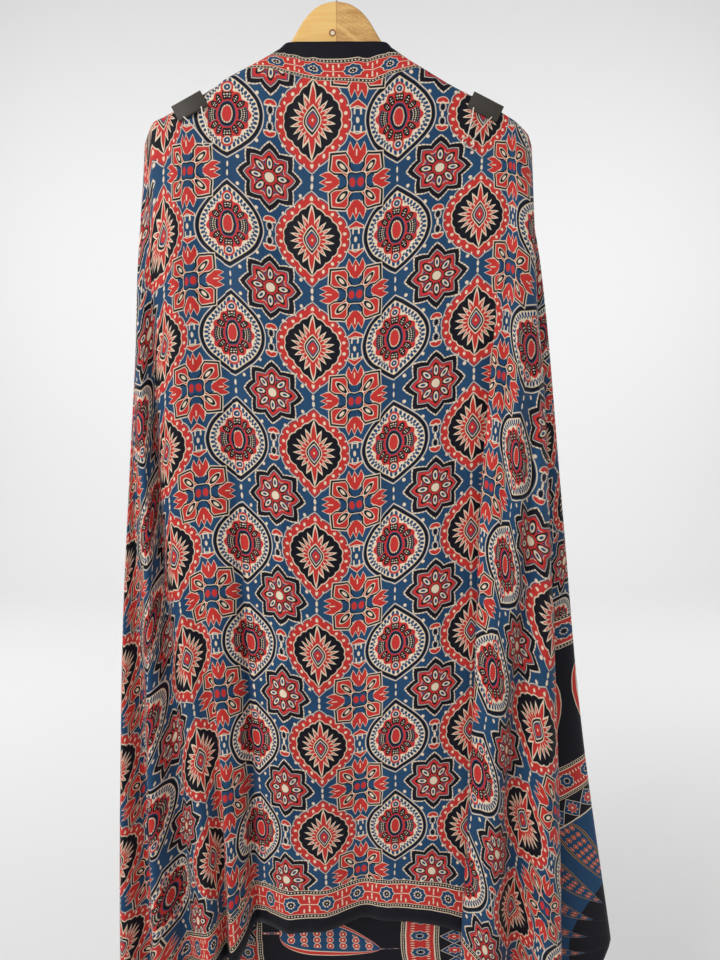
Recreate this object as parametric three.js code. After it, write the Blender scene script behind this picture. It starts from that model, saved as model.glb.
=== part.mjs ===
// Block-printed ajrakh cloth hung over a wooden coat hanger and held by two binder clips.
// Millimetres, +Z up. The front faces -Y. The origin is the inside top of the hook, where a rail bears.
import * as THREE from 'three';
import { mergeVertices } from 'three/addons/utils/BufferGeometryUtils.js';

// Driving dimensions of the cloth.
const SHEET_THICKNESS = 1.4;
const TOP_EDGE_Z = -120;
const WRAP = { radius: 11.2, lift: 5, steps: 10 };
const STEPS_ACROSS = 2;
const STEPS_DOWN = 11;

// The loose arch of the cloth over the left arm, between the neck and the clip.
const SLACK = { height: 7.5, x: -116, reach: 26 };

// How much further the cloth reaches down behind the arms than behind the neck, and where that begins.
const TUCK = { from: 66, full: 78, depth: 8 };

// Driving dimensions of the hanger and its hook.
const HANGER = { halfSpan: 222, thickness: 13, edgeRound: 4.5, topZ: -70, seamGap: 0.3 };
const HOOK = { wire: 3.2, radius: 22, sides: 8, steps: 30, tipAngle: 205 };

// Driving dimensions of a clip.
const CLIP = { length: 41, width: 27, height: 20.5, wall: 1, lip: 1.9 };
const HANDLE = { wire: 1.8, spread: 25, neck: 8, reach: 45, sides: 6, steps: 18 };

// The top line of the wood: distance from the middle and height, with the lower line beside it.
const HANGER_PROFILE = [
  { out: 0, top: -70, bottom: -150 },
  { out: 15, top: -72.5, bottom: -151 },
  { out: 28, top: -79.5, bottom: -153 },
  { out: 39, top: -90.5, bottom: -156 },
  { out: 47, top: -102.5, bottom: -158 },
  { out: 54, top: -114, bottom: -161 },
  { out: 62, top: -123, bottom: -164 },
  { out: 74, top: -132, bottom: -168 },
  { out: 88, top: -142, bottom: -173 },
  { out: 104, top: -152, bottom: -180 },
  { out: 130, top: -165.5, bottom: -190 },
  { out: 165, top: -183, bottom: -206 },
  { out: 200, top: -201, bottom: -222 },
  { out: 216, top: -210, bottom: -228 },
  { out: 222, top: -216, bottom: -227 },
];

// Where along a thread each of its stations lies, as a share of the way from top selvedge to hem.
const STATIONS = { edge: 0, crest: 0.07, chest: 0.2, waist: 0.45, knee: 0.72, hem: 1 };

// The threads that run down the cloth along its folds, from the tucked-in right end, over the front,
// round the left side to the back, and round the right side to the decorated end between the two.
// x and y are places at edge, crest, chest, waist, knee and hem, and z is at edge, crest and hem.
// A thread that is marked over passes over the arm, so its place above the chest follows the wood.
const THREADS = [
  { fold: 'tucked end', over: false, x: [165, 168, 190, 232, 250, 262], y: [15, 15, 8, -14, -24, -28], z: [-372, -352, -1500] },
  { fold: 'outer fold', over: false, x: [200, 208, 255, 277, 294, 306], y: [15, 15, 6, -24, -44, -52], z: [-344, -322, -1488] },
  { fold: 'outer ridge', over: false, x: [235, 244, 254, 264, 268, 275], y: [13, 10, -6, -42, -68, -78], z: [-276, -256, -1442] },
  { fold: 'right trough', over: false, x: [235, 240, 246, 247, 232, 245], y: [7, 1, -14, -34, -38, -36], z: [-236, -226, -1400] },
  { fold: 'flap middle', over: true, x: [222, 224, 229, 226, 208, 204], y: [0, 0, -18, -54, -76, -84], z: [0, 0, -1362] },
  { fold: 'flap front', over: true, x: [214, 216, 218, 203, 186, 176], y: [0, 0, -16, -56, -78, -88], z: [0, 0, -1334] },
  { fold: 'flap edge', over: true, x: [206, 206, 207, 182, 173, 161], y: [0, 0, -15, -46, -64, -72], z: [0, 0, -1312] },
  { fold: 'under the flap', over: true, x: [196, 196, 198, 204, 212, 214], y: [0, 0, -13, -14, -20, -22], z: [0, 0, -1292] },
  { fold: 'right red column', over: true, x: [182, 182, 178, 173, 176, 172], y: [0, 0, -13, -16, -24, -28], z: [0, 0, -1284] },
  { fold: 'right star column', over: true, x: [132, 132, 126, 126, 129, 127], y: [0, 0, -14, -20, -22, -22], z: [0, 0, -1276] },
  { fold: 'right ogee column', over: true, x: [78, 78, 75, 72, 77, 77], y: [0, 0, -14, -18, -18, -16], z: [0, 0, -1276] },
  { fold: 'right neck slope', over: true, x: [66, 66, 63, 60, 64, 66], y: [0, 0, -14, -18, -16, -14], z: [0, 0, -1277] },
  { fold: 'right neck corner', over: true, x: [55, 55, 52, 50, 54, 56], y: [0, 0, -15, -18, -14, -12], z: [0, 0, -1277] },
  { fold: 'cross column', over: true, x: [26, 27, 24, 22, 28, 31], y: [0, 0, -15, -15, -8, -6], z: [0, 0, -1278] },
  { fold: 'middle column', over: true, x: [-28, -28, -31, -30, -26, -15], y: [0, 0, -14, -18, -22, -24], z: [0, 0, -1284] },
  { fold: 'left neck corner', over: true, x: [-55, -55, -58, -57, -50, -44], y: [0, 0, -14, -19, -24, -26], z: [0, 0, -1284] },
  { fold: 'left neck slope', over: true, x: [-67, -67, -70, -69, -61, -58], y: [0, 0, -14, -20, -25, -27], z: [0, 0, -1284] },
  { fold: 'left star column', over: true, x: [-80, -80, -84, -82, -73, -72], y: [0, 0, -14, -20, -26, -28], z: [0, 0, -1284] },
  { fold: 'left ogee column', over: true, x: [-134, -134, -136, -126, -112, -100], y: [0, 0, -13, -14, -14, -14], z: [0, 0, -1282] },
  { fold: 'left trough', over: true, x: [-146, -146, -146, -135, -122, -121], y: [0, 0, -12, -8, 0, 6], z: [0, 0, -1297] },
  { fold: 'trough shoulder', over: true, x: [-162, -162, -164, -150, -135, -132], y: [0, 0, -12, -14, -18, -22], z: [0, 0, -1315] },
  { fold: 'left cross column', over: true, x: [-186, -186, -188, -177, -157, -146], y: [0, 0, -13, -22, -32, -38], z: [0, 0, -1330] },
  { fold: 'crease', over: true, x: [-200, -200, -203, -200, -166, -158], y: [0, 0, -13, -22, -18, -10], z: [0, 0, -1336] },
  { fold: 'left red column', over: true, x: [-212, -213, -218, -219, -192, -172], y: [0, 0, -10, -16, -34, -44], z: [0, 0, -1341] },
  { fold: 'shoulder end', over: true, x: [-224, -228, -231, -229, -208, -194], y: [0, 0, -8, -8, -22, -30], z: [0, 0, -1350] },
  { fold: 'shoulder trough', over: false, x: [-233, -238, -238, -238, -224, -215], y: [7, 1, -4, 6, -6, -6], z: [-240, -228, -1368] },
  { fold: 'shoulder ridge', over: false, x: [-230, -243, -252, -250, -250, -246], y: [13, 9, -6, -22, -40, -52], z: [-258, -240, -1398] },
  { fold: 'side trough', over: false, x: [-208, -232, -257, -268, -267, -268], y: [15, 15, 4, 0, -2, -6], z: [-278, -258, -1416] },
  { fold: 'side ridge', over: false, x: [-170, -205, -252, -280, -292, -300], y: [15, 16, 14, -8, -26, -36], z: [-296, -274, -1438] },
  { fold: 'left turn', over: false, x: [-118, -150, -228, -277, -298, -310], y: [15, 17, 22, 18, 10, 6], z: [-306, -282, -1446] },
  { fold: 'back left', over: false, x: [-56, -78, -150, -222, -258, -274], y: [16, 18, 26, 40, 44, 46], z: [-312, -288, -1444] },
  { fold: 'back first ridge', over: false, x: [4, -6, -60, -120, -160, -178], y: [17, 19, 30, 58, 72, 78], z: [-314, -290, -1438] },
  { fold: 'back first trough', over: false, x: [58, 52, 14, -36, -70, -84], y: [18, 19, 26, 42, 48, 50], z: [-312, -288, -1430] },
  { fold: 'back second ridge', over: false, x: [110, 106, 82, 50, 26, 16], y: [18, 20, 32, 60, 76, 84], z: [-304, -280, -1422] },
  { fold: 'back second trough', over: false, x: [156, 155, 144, 128, 116, 112], y: [18, 20, 26, 42, 50, 52], z: [-292, -268, -1414] },
  { fold: 'back third ridge', over: false, x: [196, 198, 202, 206, 214, 222], y: [19, 21, 28, 56, 72, 80], z: [-276, -254, -1408] },
  { fold: 'back right', over: false, x: [214, 219, 236, 260, 288, 316], y: [20, 21, 24, 38, 48, 54], z: [-262, -242, -1396] },
  { fold: 'right turn', over: false, x: [228, 233, 264, 299, 337, 392], y: [16, 15, 13, 14, 18, 22], z: [-256, -240, -1326] },
  { fold: 'end cascade', over: false, x: [224, 227, 246, 268, 304, 342], y: [12, 11, 9, -2, -2, 0], z: [-290, -268, -1404] },
  { fold: 'end ridge', over: false, x: [222, 222, 224, 228, 250, 262], y: [10, 10, 11, 10, 14, 18], z: [-330, -304, -1412] },
  { fold: 'end middle', over: false, x: [176, 174, 172, 166, 168, 166], y: [8, 8, 8, 14, 20, 24], z: [-400, -370, -1408] },
  { fold: 'end paisleys', over: false, x: [110, 106, 98, 84, 74, 70], y: [6, 6, 8, 14, 22, 26], z: [-480, -446, -1402] },
  { fold: 'end trough', over: false, x: [40, 34, 22, 4, -14, -22], y: [6, 6, 8, 16, 24, 30], z: [-600, -560, -1396] },
  { fold: 'end corner', over: false, x: [-30, -36, -50, -78, -108, -128], y: [8, 8, 10, 18, 26, 30], z: [-720, -678, -1392] },
];

// One number out of a row of values by a Catmull-Rom spline through unevenly spaced places.
function alongSpline(places, values, at) {
  let i = 0;
  while (i < places.length - 2 && at > places[i + 1]) {
    i += 1;
  }
  const span = places[i + 1] - places[i];
  const before = i > 0 ? i - 1 : i;
  const after = i + 2 < places.length ? i + 2 : i + 1;
  const slopeHere = (values[i + 1] - values[before]) / (places[i + 1] - places[before]);
  const slopeThere = (values[after] - values[i]) / (places[after] - places[i]);
  const t = (at - places[i]) / span;
  const t2 = t * t;
  const t3 = t2 * t;
  return (2 * t3 - 3 * t2 + 1) * values[i] + (t3 - 2 * t2 + t) * span * slopeHere
    + (3 * t2 - 2 * t3) * values[i + 1] + (t3 - t2) * span * slopeThere;
}

// The height of the line over which the cloth folds, at a place along the hanger.
function crestHeight(x) {
  const places = HANGER_PROFILE.map((section) => section.out);
  const tops = HANGER_PROFILE.map((section) => section.top);
  const slack = SLACK.height * Math.exp(-(((x - SLACK.x) / SLACK.reach) ** 2));
  return alongSpline(places, tops, Math.min(Math.abs(x), HANGER.halfSpan)) + WRAP.lift + slack;
}

// The points of a thread above the chest, down the back of the arm, over its top and down the front.
function wrappedPoints(thread) {
  const points = [];
  const turnLength = Math.PI * WRAP.radius;
  const bendZ = crestHeight(thread.x[1]) - WRAP.radius;
  const tucked = Math.min(Math.max((Math.abs(thread.x[1]) - TUCK.from) / (TUCK.full - TUCK.from), 0), 1);
  const lengthAbove = Math.max(TOP_EDGE_Z - bendZ, 0) + TUCK.depth * tucked;
  const startZ = Math.min(TOP_EDGE_Z, bendZ);
  for (let step = 0; step <= WRAP.steps; step += 1) {
    const left = lengthAbove * (1 - step / WRAP.steps);
    const x = thread.x[0] + ((thread.x[1] - thread.x[0]) * step) / WRAP.steps;
    if (left > turnLength) {
      points.push(new THREE.Vector3(x, WRAP.radius, startZ - (left - turnLength)));
    } else {
      const angle = left / WRAP.radius;
      points.push(new THREE.Vector3(x, -WRAP.radius * Math.cos(angle), startZ + WRAP.radius * Math.sin(angle)));
    }
    if (lengthAbove === 0) {
      points[step].z = TOP_EDGE_Z - step * 3;
    }
  }
  return points;
}

// A thread's points from its top selvedge to its hem.
function threadPoints(thread) {
  const places = Object.values(STATIONS);
  const [edgeZ, crestZ, hemZ] = thread.z;
  const points = thread.over ? wrappedPoints(thread) : [];
  if (!thread.over) {
    for (let step = 0; step <= WRAP.steps; step += 1) {
      const share = step / WRAP.steps;
      points.push(new THREE.Vector3(
        alongSpline(places, thread.x, share * STATIONS.crest),
        alongSpline(places, thread.y, share * STATIONS.crest),
        edgeZ + (crestZ - edgeZ) * share,
      ));
    }
  }
  const start = points[WRAP.steps];
  const lower = places.slice(1);
  const xs = [start.x, ...thread.x.slice(2)];
  const ys = [start.y, ...thread.y.slice(2)];
  for (let step = 1; step <= STEPS_DOWN; step += 1) {
    const share = step / STEPS_DOWN;
    const down = STATIONS.crest + share * (1 - STATIONS.crest);
    points.push(new THREE.Vector3(
      alongSpline(lower, xs, down),
      alongSpline(lower, ys, down),
      start.z + (hemZ - start.z) * share,
    ));
  }
  return points;
}

// The middle surface of the cloth as columns of points, with soft curves between the threads.
function sheetColumns() {
  const threads = THREADS.map(threadPoints);
  const columns = [];
  const rows = threads[0].length;
  const order = threads.map((_, i) => i);
  const last = (threads.length - 1) * STEPS_ACROSS;
  for (let step = 0; step <= last; step += 1) {
    const at = step / STEPS_ACROSS;
    const column = [];
    for (let row = 0; row < rows; row += 1) {
      column.push(new THREE.Vector3(
        alongSpline(order, threads.map((points) => points[row].x), at),
        alongSpline(order, threads.map((points) => points[row].y), at),
        alongSpline(order, threads.map((points) => points[row].z), at),
      ));
    }
    columns.push(column);
  }
  return columns;
}

// A closed sheet of even thickness about a grid of points.
function closedSheet(columns, thickness) {
  const across = columns.length;
  const down = columns[0].length;
  const positions = [];
  const faces = [];
  for (const side of [-0.5, 0.5]) {
    for (let i = 0; i < across; i += 1) {
      for (let j = 0; j < down; j += 1) {
        const alongRow = new THREE.Vector3().subVectors(
          columns[Math.min(i + 1, across - 1)][j],
          columns[Math.max(i - 1, 0)][j],
        );
        const alongColumn = new THREE.Vector3().subVectors(
          columns[i][Math.min(j + 1, down - 1)],
          columns[i][Math.max(j - 1, 0)],
        );
        const normal = new THREE.Vector3().crossVectors(alongRow, alongColumn).normalize();
        const point = columns[i][j].clone().addScaledVector(normal, side * thickness);
        positions.push(point.x, point.y, point.z);
      }
    }
  }
  const back = across * down;
  const index = (i, j) => i * down + j;
  for (let i = 0; i < across - 1; i += 1) {
    for (let j = 0; j < down - 1; j += 1) {
      const corners = [index(i, j), index(i + 1, j), index(i + 1, j + 1), index(i, j + 1)];
      const [a, b, c, d] = corners;
      faces.push(a, c, b, a, d, c);
      faces.push(back + a, back + b, back + c, back + a, back + c, back + d);
    }
  }
  for (let i = 0; i < across - 1; i += 1) {
    for (const [j, flip] of [[0, false], [down - 1, true]]) {
      addEdge(faces, index(i, j), index(i + 1, j), back, flip);
    }
  }
  for (let j = 0; j < down - 1; j += 1) {
    for (const [i, flip] of [[0, true], [across - 1, false]]) {
      addEdge(faces, index(i, j), index(i, j + 1), back, flip);
    }
  }
  const geometry = new THREE.BufferGeometry();
  geometry.setAttribute('position', new THREE.Float32BufferAttribute(positions, 3));
  geometry.setIndex(faces);
  return geometry;
}

// The narrow strip that closes a sheet along one edge.
function addEdge(faces, from, to, back, flip) {
  if (flip) {
    faces.push(from, back + to, to, from, back + from, back + to);
  } else {
    faces.push(from, to, back + to, from, back + to, back + from);
  }
}

// A closed body through rings of points of equal count, capped flat at both ends.
function loft(rings) {
  const count = rings[0].length;
  const positions = [];
  const faces = [];
  rings.forEach((ring) => ring.forEach((point) => positions.push(point.x, point.y, point.z)));
  for (let r = 0; r < rings.length - 1; r += 1) {
    for (let k = 0; k < count; k += 1) {
      const next = (k + 1) % count;
      const a = r * count + k;
      const b = r * count + next;
      const c = (r + 1) * count + next;
      const d = (r + 1) * count + k;
      faces.push(a, b, c, a, c, d);
    }
  }
  const lastRing = (rings.length - 1) * count;
  for (let k = 1; k < count - 1; k += 1) {
    faces.push(0, k + 1, k);
    faces.push(lastRing, lastRing + k, lastRing + k + 1);
  }
  const geometry = new THREE.BufferGeometry();
  geometry.setAttribute('position', new THREE.Float32BufferAttribute(positions, 3));
  geometry.setIndex(faces);
  return geometry;
}

// One wooden half of the hanger, from the seam in the middle to the rounded end.
function hangerHalf(side) {
  const half = HANGER.thickness / 2;
  const rings = HANGER_PROFILE.map((section, i) => {
    const out = Math.max(section.out, HANGER.seamGap / 2);
    const round = i === HANGER_PROFILE.length - 1 ? half * 0.8 : HANGER.edgeRound;
    const ring = [
      [-half, section.bottom + round],
      [-half + round * 0.3, section.bottom + round * 0.3],
      [-half + round, section.bottom],
      [half - round, section.bottom],
      [half - round * 0.3, section.bottom + round * 0.3],
      [half, section.bottom + round],
      [half, section.top - round],
      [half - round * 0.3, section.top - round * 0.3],
      [half - round, section.top],
      [-half + round, section.top],
      [-half + round * 0.3, section.top - round * 0.3],
      [-half, section.top - round],
    ].map(([y, z]) => new THREE.Vector3(side * out, y, z));
    return side > 0 ? ring : ring.reverse();
  });
  return loft(rings);
}

// A round wire along a curve, closed at both ends.
function wireAlong(curve, diameter, sides, steps) {
  const section = new THREE.Shape();
  for (let k = 0; k < sides; k += 1) {
    const angle = (2 * Math.PI * k) / sides;
    const x = (diameter / 2) * Math.cos(angle);
    const y = (diameter / 2) * Math.sin(angle);
    if (k === 0) {
      section.moveTo(x, y);
    } else {
      section.lineTo(x, y);
    }
  }
  section.closePath();
  return new THREE.ExtrudeGeometry(section, { steps, extrudePath: curve, bevelEnabled: false });
}

// The wire hook: a straight shank, a bend to one side and an open circle over the rail.
function hookGeometry() {
  const ring = HOOK.radius + HOOK.wire / 2;
  const centreZ = -HOOK.radius;
  const points = [
    new THREE.Vector3(0, 0, HANGER.topZ + 0.3),
    new THREE.Vector3(0, 0, HANGER.topZ + 12),
    new THREE.Vector3(1, 0, centreZ - ring - 3),
  ];
  for (let degrees = -62; degrees <= HOOK.tipAngle; degrees += 26) {
    const angle = (degrees * Math.PI) / 180;
    points.push(new THREE.Vector3(ring * Math.cos(angle), 0, centreZ + ring * Math.sin(angle)));
  }
  return wireAlong(new THREE.CatmullRomCurve3(points), HOOK.wire, HOOK.sides, HOOK.steps);
}

// A clip body: a folded spring plate, open below, with an outward curl along each jaw.
function clipBodyGeometry() {
  const half = CLIP.width / 2;
  const { height, wall, lip } = CLIP;
  const outline = [
    [-half, 0],
    [half, 0],
    [half + 0.4, -height + lip * 1.6],
    [half + lip + 0.4, -height + lip * 1.2],
    [half + lip + 0.4, -height - lip * 0.4],
    [half + 0.4, -height - lip * 0.8],
    [half - wall, -height - lip * 0.2],
    [half - wall, -wall],
    [-half + wall, -wall],
    [-half + wall, -height - lip * 0.2],
    [-half - 0.4, -height - lip * 0.8],
    [-half - lip - 0.4, -height - lip * 0.4],
    [-half - lip - 0.4, -height + lip * 1.2],
    [-half - 0.4, -height + lip * 1.6],
  ];
  const shape = new THREE.Shape(outline.map(([y, z]) => new THREE.Vector2(y, z)));
  const geometry = new THREE.ExtrudeGeometry(shape, { depth: CLIP.length, bevelEnabled: false });
  // The profile is drawn across the arm, so its own axis is turned to run along the arm.
  geometry.translate(0, 0, -CLIP.length / 2);
  geometry.rotateX(Math.PI / 2);
  geometry.rotateZ(Math.PI / 2);
  return geometry;
}

// A wire handle folded down on the cloth: wide at the jaw, narrow at the neck, with a round tip.
function clipHandleGeometry(facing) {
  const y = facing * (CLIP.width / 2 + CLIP.lip + 0.4 + HANDLE.wire / 2 + 0.5);
  const halfSpread = HANDLE.spread / 2;
  const halfNeck = HANDLE.neck / 2;
  const start = -CLIP.height + 1;
  const neckZ = start - HANDLE.reach * 0.78;
  const points = [
    new THREE.Vector3(-halfSpread, y, start),
    new THREE.Vector3(-halfSpread * 0.62, y, start - HANDLE.reach * 0.36),
    new THREE.Vector3(-halfNeck * 0.8, y, neckZ),
    new THREE.Vector3(-halfNeck * 1.05, y, neckZ - 5),
    new THREE.Vector3(0, y, start - HANDLE.reach),
    new THREE.Vector3(halfNeck * 1.05, y, neckZ - 5),
    new THREE.Vector3(halfNeck * 0.8, y, neckZ),
    new THREE.Vector3(halfSpread * 0.62, y, start - HANDLE.reach * 0.36),
    new THREE.Vector3(halfSpread, y, start),
  ];
  return wireAlong(new THREE.CatmullRomCurve3(points), HANDLE.wire, HANDLE.sides, HANDLE.steps);
}

// A named mesh with one plain colour and finish.
function piece(name, geometry, finish) {
  const bare = geometry.clone();
  bare.deleteAttribute('normal');
  bare.deleteAttribute('uv');
  const merged = mergeVertices(bare, 1e-4);
  merged.computeVertexNormals();
  const mesh = new THREE.Mesh(merged, new THREE.MeshStandardMaterial(finish));
  mesh.name = name;
  return mesh;
}

const FINISH = {
  cloth: { color: 0x2b4f73, roughness: 0.8, metalness: 0 },
  wood: { color: 0xe3b36a, roughness: 0.55, metalness: 0 },
  steel: { color: 0xc9c8c4, roughness: 0.3, metalness: 1 },
  enamel: { color: 0x2b2926, roughness: 0.45, metalness: 0.2 },
};

// Where each clip sits: the middle of its spine over the arm, and the slope of the arm there.
const CLIP_SEATS = {
  left: { x: -185.5, z: -186, slope: 28 },
  right: { x: 188, z: -186.6, slope: -26 },
};

const part = new THREE.Group();
part.add(piece('cloth', closedSheet(sheetColumns(), SHEET_THICKNESS), FINISH.cloth));
part.add(piece('hanger_left_arm', hangerHalf(-1), FINISH.wood));
part.add(piece('hanger_right_arm', hangerHalf(1), FINISH.wood));
part.add(piece('hook', hookGeometry(), FINISH.steel));
for (const [side, seat] of Object.entries(CLIP_SEATS)) {
  const clip = new THREE.Group();
  clip.position.set(seat.x, 0, seat.z);
  clip.rotation.y = (-seat.slope * Math.PI) / 180;
  clip.add(piece(`clip_${side}_body`, clipBodyGeometry(), FINISH.enamel));
  clip.add(piece(`clip_${side}_handle_front`, clipHandleGeometry(-1), FINISH.steel));
  clip.add(piece(`clip_${side}_handle_back`, clipHandleGeometry(1), FINISH.steel));
  part.add(clip);
}

export default part;
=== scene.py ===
"""Dresses a block-printed ajrakh cloth that hangs over a wooden coat hanger under two binder clips."""
import logging
import math
from dataclasses import dataclass
from enum import Enum

import bpy
from mathutils import Matrix, Vector


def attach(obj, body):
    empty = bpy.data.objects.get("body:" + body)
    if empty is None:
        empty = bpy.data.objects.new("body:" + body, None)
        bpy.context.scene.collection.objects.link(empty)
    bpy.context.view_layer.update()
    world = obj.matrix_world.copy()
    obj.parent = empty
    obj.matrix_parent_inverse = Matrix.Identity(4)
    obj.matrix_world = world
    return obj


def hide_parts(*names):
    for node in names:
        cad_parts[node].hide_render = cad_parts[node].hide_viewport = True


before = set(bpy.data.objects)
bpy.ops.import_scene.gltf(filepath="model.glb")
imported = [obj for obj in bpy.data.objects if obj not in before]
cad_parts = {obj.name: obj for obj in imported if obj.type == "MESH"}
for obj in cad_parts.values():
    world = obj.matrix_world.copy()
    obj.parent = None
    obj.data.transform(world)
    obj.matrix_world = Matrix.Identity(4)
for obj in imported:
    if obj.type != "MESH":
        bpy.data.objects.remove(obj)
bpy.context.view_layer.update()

MM = 0.001
BODY = "root"
LOG = logging.getLogger("ajrakh")

Colour = tuple[float, float, float, float]


def linear(code: str) -> Colour:
    """Turns a colour written as six hex digits into the linear values that a shader takes.

    Args:
        code: red, green and blue as two hex digits each.

    Returns:
        The linear red, green and blue, with an alpha of one.
    """
    parts = [int(code[i:i + 2], 16) / 255 for i in (0, 2, 4)]
    lit = [p / 12.92 if p <= 0.04045 else ((p + 0.055) / 1.055) ** 2.4 for p in parts]
    return (lit[0], lit[1], lit[2], 1.0)


class Dye(Enum):
    """The dyes of the print, as they look on the cloth."""

    INDIGO = "224A70"
    MADDER = "D03733"
    BLACK = "12111C"
    CREAM = "F4E0C4"
    GOLD = "C79F62"

    @property
    def colour(self) -> Colour:
        """The dye's linear colour."""
        return linear(self.value)


# Node drafting


class Term:
    """A number that varies over a surface, held as a node socket that takes arithmetic."""

    def __init__(self, sketch: "Sketch", socket: bpy.types.NodeSocket) -> None:
        """Keeps the socket and the sketch that it belongs to."""
        self.sketch = sketch
        self.socket = socket

    def __add__(self, other: "Term | float") -> "Term":
        """Adds."""
        return self.sketch.math("ADD", self, other)

    __radd__ = __add__

    def __sub__(self, other: "Term | float") -> "Term":
        """Subtracts."""
        return self.sketch.math("SUBTRACT", self, other)

    def __rsub__(self, other: float) -> "Term":
        """Subtracts from a number."""
        return self.sketch.math("SUBTRACT", other, self)

    def __mul__(self, other: "Term | float") -> "Term":
        """Multiplies."""
        return self.sketch.math("MULTIPLY", self, other)

    __rmul__ = __mul__

    def __truediv__(self, other: "Term | float") -> "Term":
        """Divides."""
        return self.sketch.math("DIVIDE", self, other)

    def __pow__(self, power: float) -> "Term":
        """Raises to a power."""
        return self.sketch.math("POWER", self, power)

    def __abs__(self) -> "Term":
        """Takes the size without the sign."""
        return self.sketch.math("ABSOLUTE", self)

    def least(self, other: "Term | float") -> "Term":
        """The smaller of two."""
        return self.sketch.math("MINIMUM", self, other)

    def most(self, other: "Term | float") -> "Term":
        """The larger of two."""
        return self.sketch.math("MAXIMUM", self, other)

    def sway(self, period: float) -> "Term":
        """A zigzag that is 0 at each multiple of the period and 1 half way between."""
        return self.sketch.math("PINGPONG", self, period / 2) * (2 / period)

    def cell(self, period: float) -> "Term":
        """The distance from the nearest multiple of the period."""
        return self.sketch.math("WRAP", self, period / 2, -period / 2)

    def below(self, edge: "Term | float", soft: float) -> "Term":
        """One where the number is under the edge and nought over it, softened over a width.

        Args:
            edge: where it changes.
            soft: over what width.

        Returns:
            The mask.
        """
        if isinstance(edge, Term):
            return self.sketch.math("MULTIPLY_ADD", edge - self, 1 / soft, 0.5, clamp=True)
        return self.sketch.math("MULTIPLY_ADD", self, -1 / soft, edge / soft + 0.5, clamp=True)

    def above(self, edge: "Term | float", soft: float) -> "Term":
        """One where the number is over the edge and nought under it, softened over a width.

        Args:
            edge: where it changes.
            soft: over what width.

        Returns:
            The mask.
        """
        if isinstance(edge, Term):
            return self.sketch.math("MULTIPLY_ADD", self - edge, 1 / soft, 0.5, clamp=True)
        return self.sketch.math("MULTIPLY_ADD", self, 1 / soft, 0.5 - edge / soft, clamp=True)

    def within(self, low: float, high: float, soft: float) -> "Term":
        """One between two edges and nought outside them."""
        return abs(self - (low + high) / 2).below((high - low) / 2, soft)


class Sketch:
    """A node tree in which a pattern is drawn by arithmetic and painted layer on layer."""

    # The Mix node has its sockets once for each kind of data, and these are the ones for colours.
    MIX_INPUTS = (0, 6, 7)
    MIX_RESULT = 2

    def __init__(self, tree: bpy.types.NodeTree) -> None:
        """Starts on an empty tree."""
        self.tree = tree
        self.coat: "bpy.types.NodeSocket | None" = None

    def node(self, kind: str) -> bpy.types.Node:
        """Adds a node of a kind."""
        return self.tree.nodes.new(kind)

    def feed(self, socket: bpy.types.NodeSocket, value: "Term | float | bpy.types.NodeSocket") -> None:
        """Links a value into a socket, or sets it there if it is a plain one.

        Args:
            socket: the input.
            value: what goes in.
        """
        if isinstance(value, Term):
            self.tree.links.new(value.socket, socket)
        elif isinstance(value, bpy.types.NodeSocket):
            self.tree.links.new(value, socket)
        else:
            socket.default_value = value

    def math(self, operation: str, *values: "Term | float", clamp: bool = False) -> Term:
        """Adds a Math node.

        Args:
            operation: the node's operation.
            values: its inputs in order.
            clamp: whether the result is kept between 0 and 1.

        Returns:
            The result.
        """
        node = self.node("ShaderNodeMath")
        node.operation = operation
        node.use_clamp = clamp
        for socket, value in zip(node.inputs, values):
            self.feed(socket, value)
        return Term(self, node.outputs[0])

    def length(self, x: Term, y: Term) -> Term:
        """The distance of a point from the middle."""
        return self.math("SQRT", self.math("MULTIPLY_ADD", x, x, y * y))

    def angle(self, y: Term, x: Term) -> Term:
        """The angle of a point about the middle, in radians."""
        return self.math("ARCTAN2", y, x)

    def noise(self, where: "bpy.types.NodeSocket", scale: float, detail: float = 2.0) -> Term:
        """Noise about nought, between about -0.5 and 0.5.

        Args:
            where: the coordinates that it reads.
            scale: how many features it has in a unit.
            detail: how many finer layers it has.

        Returns:
            The noise.
        """
        node = self.node("ShaderNodeTexNoise")
        self.feed(node.inputs["Vector"], where)
        node.inputs["Scale"].default_value = scale
        node.inputs["Detail"].default_value = detail
        return Term(self, node.outputs["Fac"]) - 0.5

    def mix(self, mask: "Term | float", under: "bpy.types.NodeSocket | Colour",
            over: "bpy.types.NodeSocket | Colour") -> bpy.types.NodeSocket:
        """Lays one colour over another where a mask is one.

        Args:
            mask: where the second colour shows.
            under: the first colour.
            over: the second colour.

        Returns:
            The mixed colour.
        """
        node = self.node("ShaderNodeMix")
        node.data_type = "RGBA"
        factor, first, second = (node.inputs[i] for i in self.MIX_INPUTS)
        self.feed(factor, mask)
        self.feed(first, under)
        self.feed(second, over)
        return node.outputs[self.MIX_RESULT]

    def paint(self, mask: Term, dye: "Dye | bpy.types.NodeSocket") -> None:
        """Lays a dye over what is painted so far."""
        over = dye.colour if isinstance(dye, Dye) else dye
        self.coat = self.mix(mask, self.coat, over)


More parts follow.
